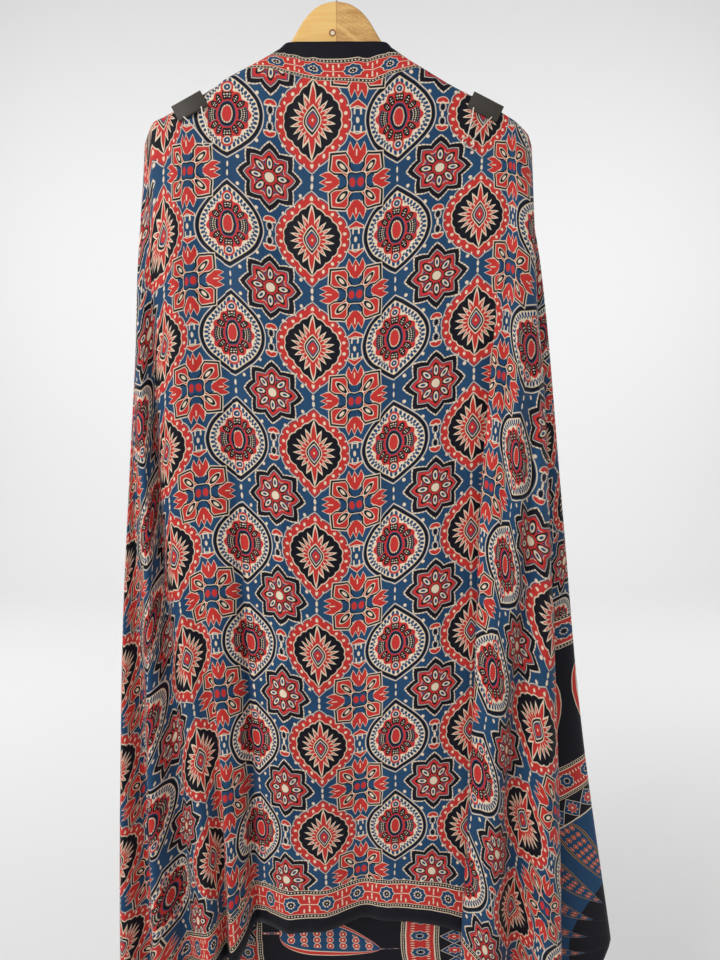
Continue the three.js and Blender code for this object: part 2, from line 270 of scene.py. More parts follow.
class Surface(Sketch):
    """The tree of one material, which ends in a Principled shader."""

    def __init__(self, name: str) -> None:
        """Starts a material of that name on an empty tree.

        Args:
            name: the material's name.
        """
        self.material = bpy.data.materials.new(name)
        self.material.use_nodes = True
        self.material.node_tree.nodes.clear()
        super().__init__(self.material.node_tree)

    def place(self) -> bpy.types.NodeSocket:
        """The coordinates of a point on the object, in metres."""
        return self.node("ShaderNodeTexCoord").outputs["Object"]

    def close(self, height: Term, strength: float, distance: float) -> bpy.types.Node:
        """Adds the shader over the painted colour, with a bump.

        Args:
            height: what the bump follows.
            strength: how strong it is.
            distance: how deep it is, in metres.

        Returns:
            The shader, whose other values are set on its sockets.
        """
        bump = self.node("ShaderNodeBump")
        bump.inputs["Strength"].default_value = strength
        bump.inputs["Distance"].default_value = distance
        self.feed(bump.inputs["Height"], height)
        shader = self.node("ShaderNodeBsdfPrincipled")
        self.feed(shader.inputs["Base Color"], self.coat)
        self.feed(shader.inputs["Normal"], bump.outputs["Normal"])
        output = self.node("ShaderNodeOutputMaterial")
        self.feed(output.inputs["Surface"], shader.outputs["BSDF"])
        return shader


class Group(Sketch):
    """A shader node group with named inputs and outputs."""

    def __init__(self, name: str, numbers: tuple[str, ...]) -> None:
        """Makes a group that takes numbers and a ground colour and puts out a colour.

        Args:
            name: the group's name.
            numbers: the names of its number inputs.
        """
        tree = bpy.data.node_groups.new(name, "ShaderNodeTree")
        super().__init__(tree)
        for number in numbers:
            tree.interface.new_socket(name=number, in_out="INPUT", socket_type="NodeSocketFloat")
        tree.interface.new_socket(name="Ground", in_out="INPUT", socket_type="NodeSocketColor")
        tree.interface.new_socket(name="Colour", in_out="OUTPUT", socket_type="NodeSocketColor")
        self.inputs = self.node("NodeGroupInput")
        self.outputs = self.node("NodeGroupOutput")
        self.coat = self.inputs.outputs["Ground"]

    def given(self, name: str) -> Term:
        """A number input."""
        return Term(self, self.inputs.outputs[name])

    def close(self) -> bpy.types.NodeTree:
        """Sends the painted colour out and returns the tree."""
        self.tree.links.new(self.coat, self.outputs.inputs["Colour"])
        return self.tree


def apply_group(sketch: Sketch, tree: bpy.types.NodeTree, ground: bpy.types.NodeSocket,
                **numbers: Term) -> bpy.types.NodeSocket:
    """Places a group and feeds it.

    Args:
        sketch: where it is placed.
        tree: the group's tree.
        ground: the colour under it.
        numbers: its number inputs by name.

    Returns:
        The painted colour.
    """
    node = sketch.node("ShaderNodeGroup")
    node.node_tree = tree
    for name, value in numbers.items():
        sketch.feed(node.inputs[name], value)
    sketch.feed(node.inputs["Ground"], ground)
    return node.outputs["Colour"]


# The block print


@dataclass(frozen=True)
class PrintPlan:
    """Where the blocks of the field and the borders are set, in millimetres on the flat cloth."""

    column: float = 105.0
    row: float = 133.0
    first_row: float = 85.0
    depth: float = 1163.0
    rosette_pitch: float = 46.0
    edge: float = 0.5
    fine: float = 0.9


PLAN = PrintPlan()


class OgeeBlock:
    """The drop-shaped blue and cream medallion and the red scalloped one, which share an outline."""

    def __init__(self, half_width: float, half_height: float, point: float) -> None:
        """Takes the outline's half sizes in millimetres and how sharp its two tips are.

        Args:
            half_width: half of its width.
            half_height: half of its height.
            point: the power that draws out its tips.
        """
        self.point = point
        self.shoulder = half_width * 0.107
        self.base = half_width - self.shoulder
        self.swell = half_height - self.base

    def share(self, sketch: Sketch, x: Term, y: Term, radius: Term) -> Term:
        """How far a point lies from the middle as a share of the outline there.

        Args:
            sketch: where it is drawn.
            x: the distance across, without its sign.
            y: the distance down, without its sign; it is not used.
            radius: the distance from the middle.

        Returns:
            Nought in the middle and one on the outline.
        """
        lean = x / radius
        tall = sketch.math("POWER", 1 - lean, self.point)
        reach = sketch.math("MULTIPLY_ADD", tall, self.swell, self.base)
        reach = sketch.math("MULTIPLY_ADD", lean * lean, self.shoulder, reach)
        return radius / reach


class DropBlock(OgeeBlock):
    """The pointed medallion with a black band, a fringe of blue and cream and a red palmette."""

    def group(self) -> bpy.types.NodeTree:
        """Draws the block.

        Returns:
            The tree of the group.
        """
        g = Group("ajrakh drop medallion", ("Across", "Down"))
        x, y = abs(g.given("Across")), abs(g.given("Down"))
        r = g.length(x, y)
        s = self.share(g, x, y, r)
        a = g.angle(y, x)
        g.paint(abs(s - 0.99).below(0.013, 0.02), Dye.CREAM)
        g.paint(s.below(0.955, 0.02), Dye.BLACK)
        g.paint(s.below(0.868, 0.02), Dye.CREAM)
        oval = g.length((a - math.tau / 80).cell(math.tau / 40) * 22.0, (s - 0.785) * 18.0)
        g.paint(oval.below(1.15, 0.3), Dye.INDIGO)
        fleck = g.length(a.cell(math.tau / 40) * 26.0, (s - 0.715) * 34.0)
        g.paint(fleck.below(1.1, 0.4), Dye.INDIGO)
        lobes = g.math("MULTIPLY_ADD", g.math("COSINE", a * 12), 0.035, 0.635)
        crown = g.length(x, y - 32.0)
        g.paint(s.below(lobes, 0.02).most(crown.below(7.2, 0.8)), Dye.MADDER)
        seed = g.length((a * 20).cell(2.4), r.cell(3.0)).below(0.75, 0.5)
        fan = a.below(0.38, 0.04) * s.within(0.32, 0.56, 0.03)
        g.paint(a.below(0.41, 0.03) * s.within(0.31, 0.575, 0.02), Dye.INDIGO)
        g.paint(fan, Dye.BLACK)
        g.paint(fan * s.within(0.36, 0.53, 0.03) * seed, Dye.CREAM)
        lean = abs((a - 0.66).cell(0.42))
        petal = g.length((s - 0.47) * 6.4, r * lean / 4.3)
        petal = petal.most(1.2 * a.below(0.47, 0.02)).most(1.2 * crown.below(6.0, 0.8))
        g.paint(petal.below(0.90, 0.1), Dye.BLACK)
        g.paint(petal.below(0.52, 0.1) * seed, Dye.CREAM)
        g.paint(crown.below(4.9, 0.7), Dye.CREAM)
        g.paint(crown.below(3.7, 0.7), Dye.INDIGO)
        g.paint(crown.below(1.1, 0.7), Dye.CREAM)
        heart = g.math("MULTIPLY_ADD", g.math("POWER", y / r, 4.0), -3.2, g.length(x, y * 0.88))
        for size, dye in ((12.4, Dye.MADDER), (11.0, Dye.INDIGO), (9.8, Dye.BLACK)):
            g.paint(heart.below(size, 0.8), dye)
        g.paint(heart.below(7.0, 0.8) * a.sway(math.tau / 22).above(0.25, 0.4), Dye.CREAM)
        g.paint(heart.below(5.6, 0.8), Dye.MADDER)
        return g.close()


class SunBlock(OgeeBlock):
    """The red scalloped medallion with a sunburst on black and a tall eye in its middle."""

    scallops: int = 18

    def group(self) -> bpy.types.NodeTree:
        """Draws the block.

        Returns:
            The tree of the group.
        """
        g = Group("ajrakh sun medallion", ("Across", "Down"))
        x, y = abs(g.given("Across")), abs(g.given("Down"))
        r = g.length(x, y)
        s = self.share(g, x, y, r)
        a = g.angle(y, x)
        pitch = math.tau / self.scallops
        turn = (a - math.pi / 2).cell(pitch)
        bead = abs(turn) * (2 / pitch)
        scallop = g.math("MULTIPLY_ADD", bead * bead, -0.036, 1.0)
        g.paint(s.within(0.0, 1.0, 0.02) * s.above(scallop - 0.022, 0.02) * s.below(scallop, 0.02), Dye.CREAM)
        g.paint(s.below(scallop - 0.045, 0.02), Dye.MADDER)
        g.paint(g.length(turn * r, (s - 0.845) * self.base).below(1.9, 0.8), Dye.CREAM)
        g.paint(s.above(0.90, 0.02) * s.below(scallop, 0.02) * bead.above(0.90, 0.1), Dye.CREAM)
        inner = scallop - 0.235
        g.paint(s.below(inner, 0.02), Dye.CREAM)
        g.paint(s.below(inner - 0.028, 0.02), Dye.BLACK)
        ray = 1 - (a - math.pi / 2).sway(math.tau / 18)
        tall = (y / r) ** 16
        reach = g.math("MULTIPLY_ADD", ray, 0.27, 0.30)
        reach = g.math("MULTIPLY_ADD", tall, 0.14, reach)
        g.paint(s.below(reach + 0.02, 0.03), Dye.CREAM)
        g.paint(s.below(reach - 0.065, 0.03), Dye.MADDER)
        core = s.below(reach - 0.13, 0.03) * s.above(0.36, 0.03) * tall.below(0.4, 0.1)
        g.paint(core * (1 - ray).below(0.3, 0.2), Dye.CREAM)
        lean = x / r
        eye = r / g.math("MULTIPLY_ADD", g.math("POWER", 1 - lean, 2.2), 7.0, 10.4)
        for size, dye in ((1.0, Dye.CREAM), (0.90, Dye.BLACK), (0.72, Dye.CREAM), (0.63, Dye.INDIGO),
                          (0.46, Dye.MADDER), (0.10, Dye.CREAM)):
            g.paint(eye.below(size, 0.06), dye)
        return g.close()


class StarBlock:
    """The eight-pointed star with a black band, a red one and eight petals."""

    points: int = 8

    def group(self) -> bpy.types.NodeTree:
        """Draws the block.

        Returns:
            The tree of the group.
        """
        g = Group("ajrakh star", ("Across", "Down"))
        x, y = g.given("Across"), g.given("Down")
        r = g.length(x, y) * 0.965
        a = g.angle(y, x)
        pitch = math.tau / self.points
        gap = a.sway(pitch)
        q = r / g.math("MULTIPLY_ADD", gap ** 0.9, -0.245, 1.0)
        dot = g.length((gap - 1) * 16.0, r - 41.0)
        g.paint(dot.below(2.1, 0.8), Dye.CREAM)
        g.paint(q.within(38.2, 40.6, 0.8) * a.sway(math.tau / 56).above(0.16, 0.3), Dye.CREAM)
        for reach, dye in ((38.4, Dye.BLACK), (31.6, Dye.CREAM), (30.7, Dye.INDIGO), (29.2, Dye.MADDER),
                           (24.6, Dye.CREAM), (23.7, Dye.INDIGO)):
            g.paint(q.below(reach, 0.8), dye)
        side = r * gap * (pitch / 2)
        along = abs(r - 15.8) / 8.8
        petal = g.math("MULTIPLY_ADD", along, along, (side / 4.4) ** 2)
        g.paint(petal.below(1.45, 0.3), Dye.MADDER)
        g.paint(petal.below(1.0, 0.25), Dye.BLACK)
        g.paint(petal.within(0.0, 0.42, 0.2), Dye.CREAM)
        g.paint(petal.below(0.12, 0.1), Dye.INDIGO)
        g.paint(r.below(8.6, 0.8), Dye.MADDER)
        g.paint(r.below(6.4, 0.8), Dye.BLACK)
        g.paint(r.below(5.4, 0.9), Dye.CREAM)
        return g.close()


class CrossBlock:
    """The flower with four corner petals and four red tulips."""

    def group(self) -> bpy.types.NodeTree:
        """Draws the block.

        Returns:
            The tree of the group.
        """
        g = Group("ajrakh cross flower", ("Across", "Down"))
        x, y = abs(g.given("Across")), abs(g.given("Down"))
        far, near = x.most(y), x.least(y)
        notch = near.sway(7.6)
        crown = g.math("MULTIPLY_ADD", notch, -8.5, 44.0)
        wide = g.math("MULTIPLY_ADD", far, 0.85, -13.5).least(11.4)
        tulip = (wide - near).least(crown - far)
        g.paint(tulip.above(0.0, 0.8) * far.above(20, 1), Dye.CREAM)
        g.paint(tulip.above(1.3, 0.8) * far.above(20, 1), Dye.MADDER)
        g.paint(near.below(0.7, 0.6) * far.within(29, 36, 1), Dye.CREAM)
        along = (x + y) * 0.7071
        side = abs(x - y) * 0.7071
        wave = far.sway(17.0)
        petal = (31.5 - far + side * 0.09).least(near - far * 0.40 + wave * 3.0)
        body = far.above(8.0, 1.0)
        g.paint(petal.above(-1.0, 0.7) * far.above(22.0, 2.0), Dye.CREAM)
        g.paint(petal.above(0.1, 0.7) * body, Dye.BLACK)
        g.paint(petal.above(2.4, 0.7) * body, Dye.CREAM)
        g.paint(petal.above(3.3, 0.7) * body, Dye.MADDER)
        bud = g.math("MULTIPLY_ADD", abs(along - 23.5) / 9.0, abs(along - 23.5) / 9.0, (side / 3.9) ** 2)
        g.paint(bud.below(1.3, 0.2), Dye.CREAM)
        g.paint(bud.below(0.90, 0.2), Dye.BLACK)
        g.paint(bud.below(0.22, 0.2), Dye.CREAM)
        r = g.length(x, y)
        a = g.angle(y, x)
        ring = g.math("MULTIPLY_ADD", g.math("COSINE", a * 4), -1.6, 11.6)
        g.paint(r.below(ring + 1.0, 0.8), Dye.CREAM)
        g.paint(r.below(ring, 0.8), Dye.BLACK)
        g.paint(r.below(ring - 1.8, 0.8), Dye.INDIGO)
        moon = g.length((x - 4.6) * 0.9, y * 0.62)
        g.paint(moon.below(3.2, 0.8), Dye.MADDER)
        return g.close()


class SprigBlock:
    """The small pieces in the gaps: dashes and beads between medallions, caps between flowers."""

    def medallion_gaps(self) -> bpy.types.NodeTree:
        """Draws what stands between medallions of a column, with Kind 0 for drops and 1 for suns.

        Returns:
            The tree of the group.
        """
        g = Group("ajrakh dashes and beads", ("Across", "Down", "Kind"))
        x, y = abs(g.given("Across")), abs(g.given("Down"))
        kind = g.given("Kind")
        from_middle = abs(y - (kind + 61.2))
        dash = g.length(x * g.math("MULTIPLY_ADD", kind, -0.35, 1.3), from_middle * 0.42)
        g.paint(dash.below(1.45, 0.6), Dye.CREAM)
        return g.close()

    def flower_gaps(self) -> bpy.types.NodeTree:
        """Draws what stands between flowers of a column, with Kind 0 for stars and 1 for crosses.

        Returns:
            The tree of the group.
        """
        g = Group("ajrakh caps and trinkets", ("Across", "Down", "Kind"))
        x, y = abs(g.given("Across")), abs(g.given("Down"))
        kind = g.given("Kind")
        star_side = 1 - kind
        dome = g.length(x * 0.95, (y - 51.6) * 1.2)
        above = y.below(51.8, 0.7)
        g.paint(dome.below(7.6, 0.7) * y.below(53.4, 0.7) * star_side, Dye.CREAM)
        g.paint(dome.below(6.6, 0.7) * above * star_side, Dye.MADDER)
        roof = (y - 44.2 - x * 0.75).least(52.2 - y + x * 0.35).least(9.4 - x)
        g.paint(roof.above(0.0, 0.7) * kind, Dye.CREAM)
        g.paint(roof.above(1.1, 0.7) * kind, Dye.MADDER)
        pod = g.length(x, (y - 57.4) * 0.68)
        beads = g.angle(y - 57.4, x).sway(math.tau / 10).above(0.25, 0.3)
        g.paint(pod.within(3.0, 4.6, 0.7) * beads * star_side, Dye.CREAM)
        g.paint(pod.below(2.5, 0.7) * star_side, Dye.BLACK)
        legs = abs(x - 3.4).below(0.9, 0.6) * y.within(54.0, 60.5, 0.8)
        bar = x.below(4.3, 0.6) * y.within(53.2, 54.8, 0.6)
        g.paint(legs.most(bar) * kind, Dye.CREAM)
        drop = g.length(x * 1.2, (y - 66.5) * 0.62)
        g.paint(drop.below(2.1, 0.6), Dye.CREAM)
        return g.close()


class BorderBlock:
    """The red band with blue rosettes between two dotted strips, and the black selvedge."""

    def group(self) -> bpy.types.NodeTree:
        """Draws the border, where Rise is 0 at the selvedge and grows towards the field.

        Returns:
            The tree of the group.
        """
        g = Group("ajrakh border", ("Across", "Rise"))
        across, rise = g.given("Across"), g.given("Rise")
        g.paint(rise.below(64.5, 0.8), Dye.CREAM)
        band = rise - 43.0
        for middle in (61.2, 25.4):
            strip = abs(rise - middle)
            g.paint(strip.below(2.5, 0.6), Dye.BLACK)
            g.paint(g.length(across.cell(4.1), strip * 1.1).below(1.1, 0.6), Dye.CREAM)
        g.paint(rise.below(21.6, 0.7), Dye.BLACK)
        g.paint(abs(band).below(14.4, 0.7), Dye.MADDER)
        x = across.cell(PLAN.rosette_pitch)
        g.paint(abs(band).below(0.6, 0.5), Dye.CREAM)
        fan = abs(x) - PLAN.rosette_pitch / 2
        column = g.math("WRAP", fan, 3.3, -3.3)
        lift = abs(band) - abs(fan) * 0.25
        pair = g.length(column * 1.5, (lift - 8.6) * 0.55).below(1.7, 0.7)
        g.paint(pair * abs(fan).below(9.6, 0.6), Dye.CREAM)
        low = g.length(abs(fan) * 1.4, (abs(band) - 3.9) * 0.8).below(1.6, 0.7)
        g.paint(low, Dye.CREAM)
        r = g.length(x, band)
        a = g.angle(band, x)
        lobes = g.math("MULTIPLY_ADD", g.math("COSINE", a * 8), 0.8, 10.8)
        g.paint(r.below(lobes + 1.0, 0.7), Dye.CREAM)
        g.paint(r.below(lobes, 0.7), Dye.INDIGO)
        ring = g.length(a.cell(math.tau / 9) * 5.0, r - 4.8)
        g.paint(ring.below(1.25, 0.6), Dye.CREAM)
        g.paint(r.below(3.6, 0.6), Dye.BLACK)
        g.paint(r.below(1.0, 0.6), Dye.CREAM)
        return g.close()


@dataclass(frozen=True)
class EndBands:
    """How far from the middle of its fan each band of the decorated end begins, in millimetres."""

    field: float = 643.0
    first_red: float = 597.0
    black: float = 385.0
    second_red: float = 339.0
    stars: float = 290.0
    paisleys: float = 152.0


class EndBlock:
    """The decorated end: two red bands, paisleys on black, a star strip and large paisleys."""

    bands = EndBands()

    def paisley(self, g: Group, x: Term, y: Term, size: float) -> Term:
        """A curled drop shape, under one inside it.

        Args:
            g: where it is drawn.
            x: the distance across it.
            y: the distance along it, with its tip below.
            size: its half height.

        Returns:
            A number that is under one inside the shape and grows outwards.
        """
        t = (y / size + 1) * 0.5
        inside = g.math("MINIMUM", g.math("MAXIMUM", t, 0.001), 1.0)
        bend = x + (1 - inside) * (1 - inside) * (size * 0.45)
        width = g.math("POWER", inside, 0.75) * g.math("POWER", 1.0001 - inside, 0.42) * (size * 0.98)
        return abs(bend) / width.most(0.01)

    def group(self) -> bpy.types.NodeTree:
        """Draws the end, where Reach is the distance from the middle of the fan.

        Returns:
            The tree of the group.
        """
        g = Group("ajrakh decorated end", ("Reach", "Along"))
        reach, along = g.given("Reach"), g.given("Along")
        b = self.bands
        g.paint(reach.below(b.field + 4, 0.8), Dye.BLACK)
        x = along.cell(96.0)
        y = reach - (b.black + 108.0)
        shape = self.paisley(g, x, y, 74.0)
        g.paint(shape.below(1.16, 0.03), Dye.CREAM)
        g.paint(shape.below(1.12, 0.03), Dye.MADDER)
        g.paint(shape.below(0.94, 0.03), Dye.CREAM)
        g.paint(shape.below(0.89, 0.03), Dye.INDIGO)
        fleck = g.length(x.cell(13.0) * 0.8, y.cell(19.0))
        g.paint(shape.below(0.7, 0.05) * fleck.below(5.4, 0.7), Dye.CREAM)
        g.paint(shape.below(0.7, 0.05) * fleck.below(4.5, 0.7), Dye.MADDER)
        g.paint(shape.below(0.7, 0.05) * fleck.below(1.6, 0.7), Dye.CREAM)
        for top in (b.first_red + 23, b.second_red + 23):
            band = reach - top
            g.paint(abs(band).below(27.5, 0.7), Dye.CREAM)
            g.paint(abs(abs(band) - 24.0).below(2.4, 0.6), Dye.BLACK)
            g.paint(g.length(along.cell(4.3), (abs(band) - 24.0) * 1.1).below(1.1, 0.6), Dye.CREAM)
            g.paint(abs(band).below(19.6, 0.7), Dye.MADDER)
            cx = along.cell(PLAN.rosette_pitch)
            drop = g.length(cx.cell(6.6) * 1.5, (abs(band) - 11.0) * 0.55).below(1.7, 0.7)
            g.paint(drop, Dye.CREAM)
            r = g.length(cx, band)
            a = g.angle(band, cx)
            lobes = g.math("MULTIPLY_ADD", g.math("COSINE", a * 8), 0.9, 12.4)
            g.paint(r.below(lobes + 1.1, 0.7), Dye.CREAM)
            g.paint(r.below(lobes, 0.7), Dye.INDIGO)
            g.paint(r.within(4.4, 6.2, 0.7) * a.sway(math.tau / 9).above(0.4, 0.3), Dye.CREAM)
            g.paint(r.below(3.6, 0.6), Dye.BLACK)
        strip = reach.within(b.stars, b.second_red - 5, 0.8)
        g.paint(strip, Dye.BLACK)
        sx = along.cell(44.0)
        sy = reach - (b.stars + 22)
        lozenge = abs(sx) * 0.9 + abs(sy)
        g.paint(strip * lozenge.below(21.0, 0.8), Dye.CREAM)
        g.paint(strip * lozenge.below(19.6, 0.8), Dye.INDIGO)
        sr = g.length(sx, sy)
        sa = g.angle(sy, sx).sway(math.tau / 8)
        star = sr / g.math("MULTIPLY_ADD", sa, -0.45, 1.0)
        g.paint(strip * star.below(12.6, 0.8), Dye.CREAM)
        g.paint(strip * star.below(11.2, 0.8), Dye.MADDER)
        g.paint(strip * star.below(3.4, 0.8), Dye.CREAM)
        low = reach.within(b.paisleys, b.stars, 0.8)
        g.paint(low, Dye.INDIGO)
        px = along.cell(120.0)
        py = reach - (b.paisleys + 60)
        big = self.paisley(g, px, py, 84.0)
        under = reach.below(b.stars - 3, 0.8)
        g.paint(under * reach.below(b.paisleys, 0.8), Dye.BLACK)
        for share, dye in ((1.0, Dye.GOLD), (0.955, Dye.BLACK), (0.86, Dye.GOLD), (0.82, Dye.INDIGO)):
            g.paint(under * big.below(share, 0.03), dye)
        bloom = g.length(px.cell(15.0), py.cell(17.0))
        inside = under * big.below(0.72, 0.04)
        g.paint(inside * bloom.below(5.6, 0.7), Dye.GOLD)
        g.paint(inside * bloom.below(4.6, 0.7), Dye.MADDER)
        g.paint(inside * bloom.below(1.5, 0.7), Dye.CREAM)
        g.paint(abs(reach - b.stars).below(1.2, 0.7), Dye.CREAM)
        return g.close()


class ClothFinish:
    """The dyed cloth: the whole print over a fine weave with a soft sheen."""

    def ground(self, sketch: Sketch, where: bpy.types.NodeSocket) -> bpy.types.NodeSocket:
        """The indigo ground with its uneven dyeing.

        Args:
            sketch: where it is painted.
            where: the coordinates on the flat cloth.

        Returns:
            The colour.
        """
        cloudy = sketch.noise(where, 9.0, 3.0)
        mottle = sketch.math("MULTIPLY_ADD", cloudy, 1.6, 0.5, clamp=True)
        pale = linear("2A5479")
        deep = linear("1D3F64")
        return sketch.mix(mottle, deep, pale)

    def material(self) -> bpy.types.Material:
        """Builds the material.

        Returns:
            The material.
        """
        sketch = Surface("ajrakh cloth")
        uv = sketch.node("ShaderNodeUVMap")
        uv.uv_map = "print"
        split = sketch.node("ShaderNodeSeparateXYZ")
        sketch.feed(split.inputs[0], uv.outputs["UV"])
        wobble_u = sketch.noise(uv.outputs["UV"], 38.0, 2.0)
        shift = sketch.node("ShaderNodeVectorMath")
        shift.operation = "ADD"
        shift.inputs[1].default_value = (7.3, 3.1, 0.0)
        sketch.feed(shift.inputs[0], uv.outputs["UV"])
        wobble_v = sketch.noise(shift.outputs[0], 38.0, 2.0)
        u = Term(sketch, split.outputs["X"]) * 1000.0 + wobble_u * 2.6
        v = Term(sketch, split.outputs["Y"]) * 1000.0 + wobble_v * 2.6
        sketch.coat = self.ground(sketch, uv.outputs["UV"])
        self.field(sketch, u, v)
        rise = self.reading(sketch, "border")[1] + wobble_v * 2.0
        borders = BorderBlock().group()
        for run in (rise, PLAN.depth - v):
            painted = apply_group(sketch, borders, sketch.coat, Across=u, Rise=run)
            sketch.paint(run.below(65.0, 0.8), painted)
        reach, along = self.reading(sketch, "fan")
        reach, along = reach + wobble_u * 2.6, along + wobble_v * 2.6
        painted = apply_group(sketch, EndBlock().group(), sketch.coat, Reach=reach, Along=along)
        sketch.paint(reach.below(EndBlock.bands.field + 4, 0.8), painted)
        self.shade(sketch, uv.outputs["UV"])
        return sketch.material

    def reading(self, sketch: Sketch, name: str) -> tuple[Term, Term]:
        """The two numbers of one of the sheet's UV maps, in millimetres.

        Args:
            sketch: where it is read.
            name: the name of the UV map.

        Returns:
            The first number and the second.
        """
        uv = sketch.node("ShaderNodeUVMap")
        uv.uv_map = name
        split = sketch.node("ShaderNodeSeparateXYZ")
        sketch.feed(split.inputs[0], uv.outputs["UV"])
        return Term(sketch, split.outputs["X"]) * 1000.0, Term(sketch, split.outputs["Y"]) * 1000.0

    def field(self, sketch: Sketch, u: Term, v: Term) -> None:
        """Paints the field's two lattices of blocks.

        Args:
            sketch: where it is painted.
            u: the place across the print, in millimetres.
            v: the place down it.
        """
        drop, sun = DropBlock(45.0, 54.0, 2.4).group(), SunBlock(47.0, 58.0, 2.6).group()
        star, cross = StarBlock().group(), CrossBlock().group()
        sprigs = SprigBlock()
        x = u.cell(PLAN.column)
        y = (v - PLAN.first_row).cell(PLAN.row)
        odd = u.sway(2 * PLAN.column).above(0.5, 0.01)
        gaps = sprigs.medallion_gaps()
        sketch.coat = apply_group(sketch, gaps, sketch.coat, Across=x, Down=y, Kind=1 - odd)
        base = sketch.coat
        drops = apply_group(sketch, drop, base, Across=x, Down=y)
        suns = apply_group(sketch, sun, base, Across=x, Down=y)
        sketch.coat = sketch.mix(odd, suns, drops)
        half = PLAN.column / 2
        x2 = (u - half).cell(PLAN.column)
        y2 = (v - PLAN.first_row - PLAN.row / 2).cell(PLAN.row)
        starry = (u + half).sway(2 * PLAN.column).below(0.5, 0.01)
        caps = sprigs.flower_gaps()
        sketch.coat = apply_group(sketch, caps, sketch.coat, Across=x2, Down=y2, Kind=1 - starry)
        base = sketch.coat
        stars = apply_group(sketch, star, base, Across=x2, Down=y2)
        crosses = apply_group(sketch, cross, base, Across=x2, Down=y2)
        sketch.coat = sketch.mix(starry, crosses, stars)

    def shade(self, sketch: Surface, where: bpy.types.NodeSocket) -> None:
        """Adds the fading, the weave's bump and the shader.

        Args:
            sketch: the material's tree.
            where: the coordinates on the flat cloth.
        """
        fade = sketch.noise(where, 2.2, 4.0)
        level = sketch.math("MULTIPLY_ADD", fade, 0.35, 1.0)
        tint = sketch.node("ShaderNodeHueSaturation")
        sketch.feed(tint.inputs["Value"], level)
        sketch.feed(tint.inputs["Color"], sketch.coat)
        split = sketch.node("ShaderNodeSeparateXYZ")
        sketch.feed(split.inputs[0], where)
        warp = Term(sketch, split.outputs["X"]).sway(0.0011)
        weft = Term(sketch, split.outputs["Y"]).sway(0.0011)
        grain = warp + weft + sketch.noise(where, 900.0, 2.0)
        sketch.coat = tint.outputs["Color"]
        shader = sketch.close(grain, 0.25, 0.0003)
        shader.inputs["Roughness"].default_value = 0.55
        shader.inputs["Specular IOR Level"].default_value = 0.16
        shader.inputs["Sheen Weight"].default_value = 0.04
        shader.inputs["Sheen Roughness"].default_value = 0.4


# The sheet


class Layer(Enum):
    """Which layer of the hung cloth a thread belongs to."""

    OVER = "over the arm"
    SIDE = "beside the arm"
    BACK = "back"
    END = "decorated end"


@dataclass(frozen=True)
class Thread:
    """A thread that runs down the cloth along a fold.

    x and y are places at edge, crest, chest, waist, knee and hem, z is at edge, crest and hem,
    u is the place across the print at chest, waist, knee and hem, and tucked is how much cloth is
    folded away out of sight there.
    """

    fold: str
    layer: Layer
    x: tuple[float, ...]
    y: tuple[float, ...]
    z: tuple[float, ...]
    u: tuple[float, ...] = ()
    tucked: tuple[float, ...] = (0.0, 0.0, 0.0, 0.0)


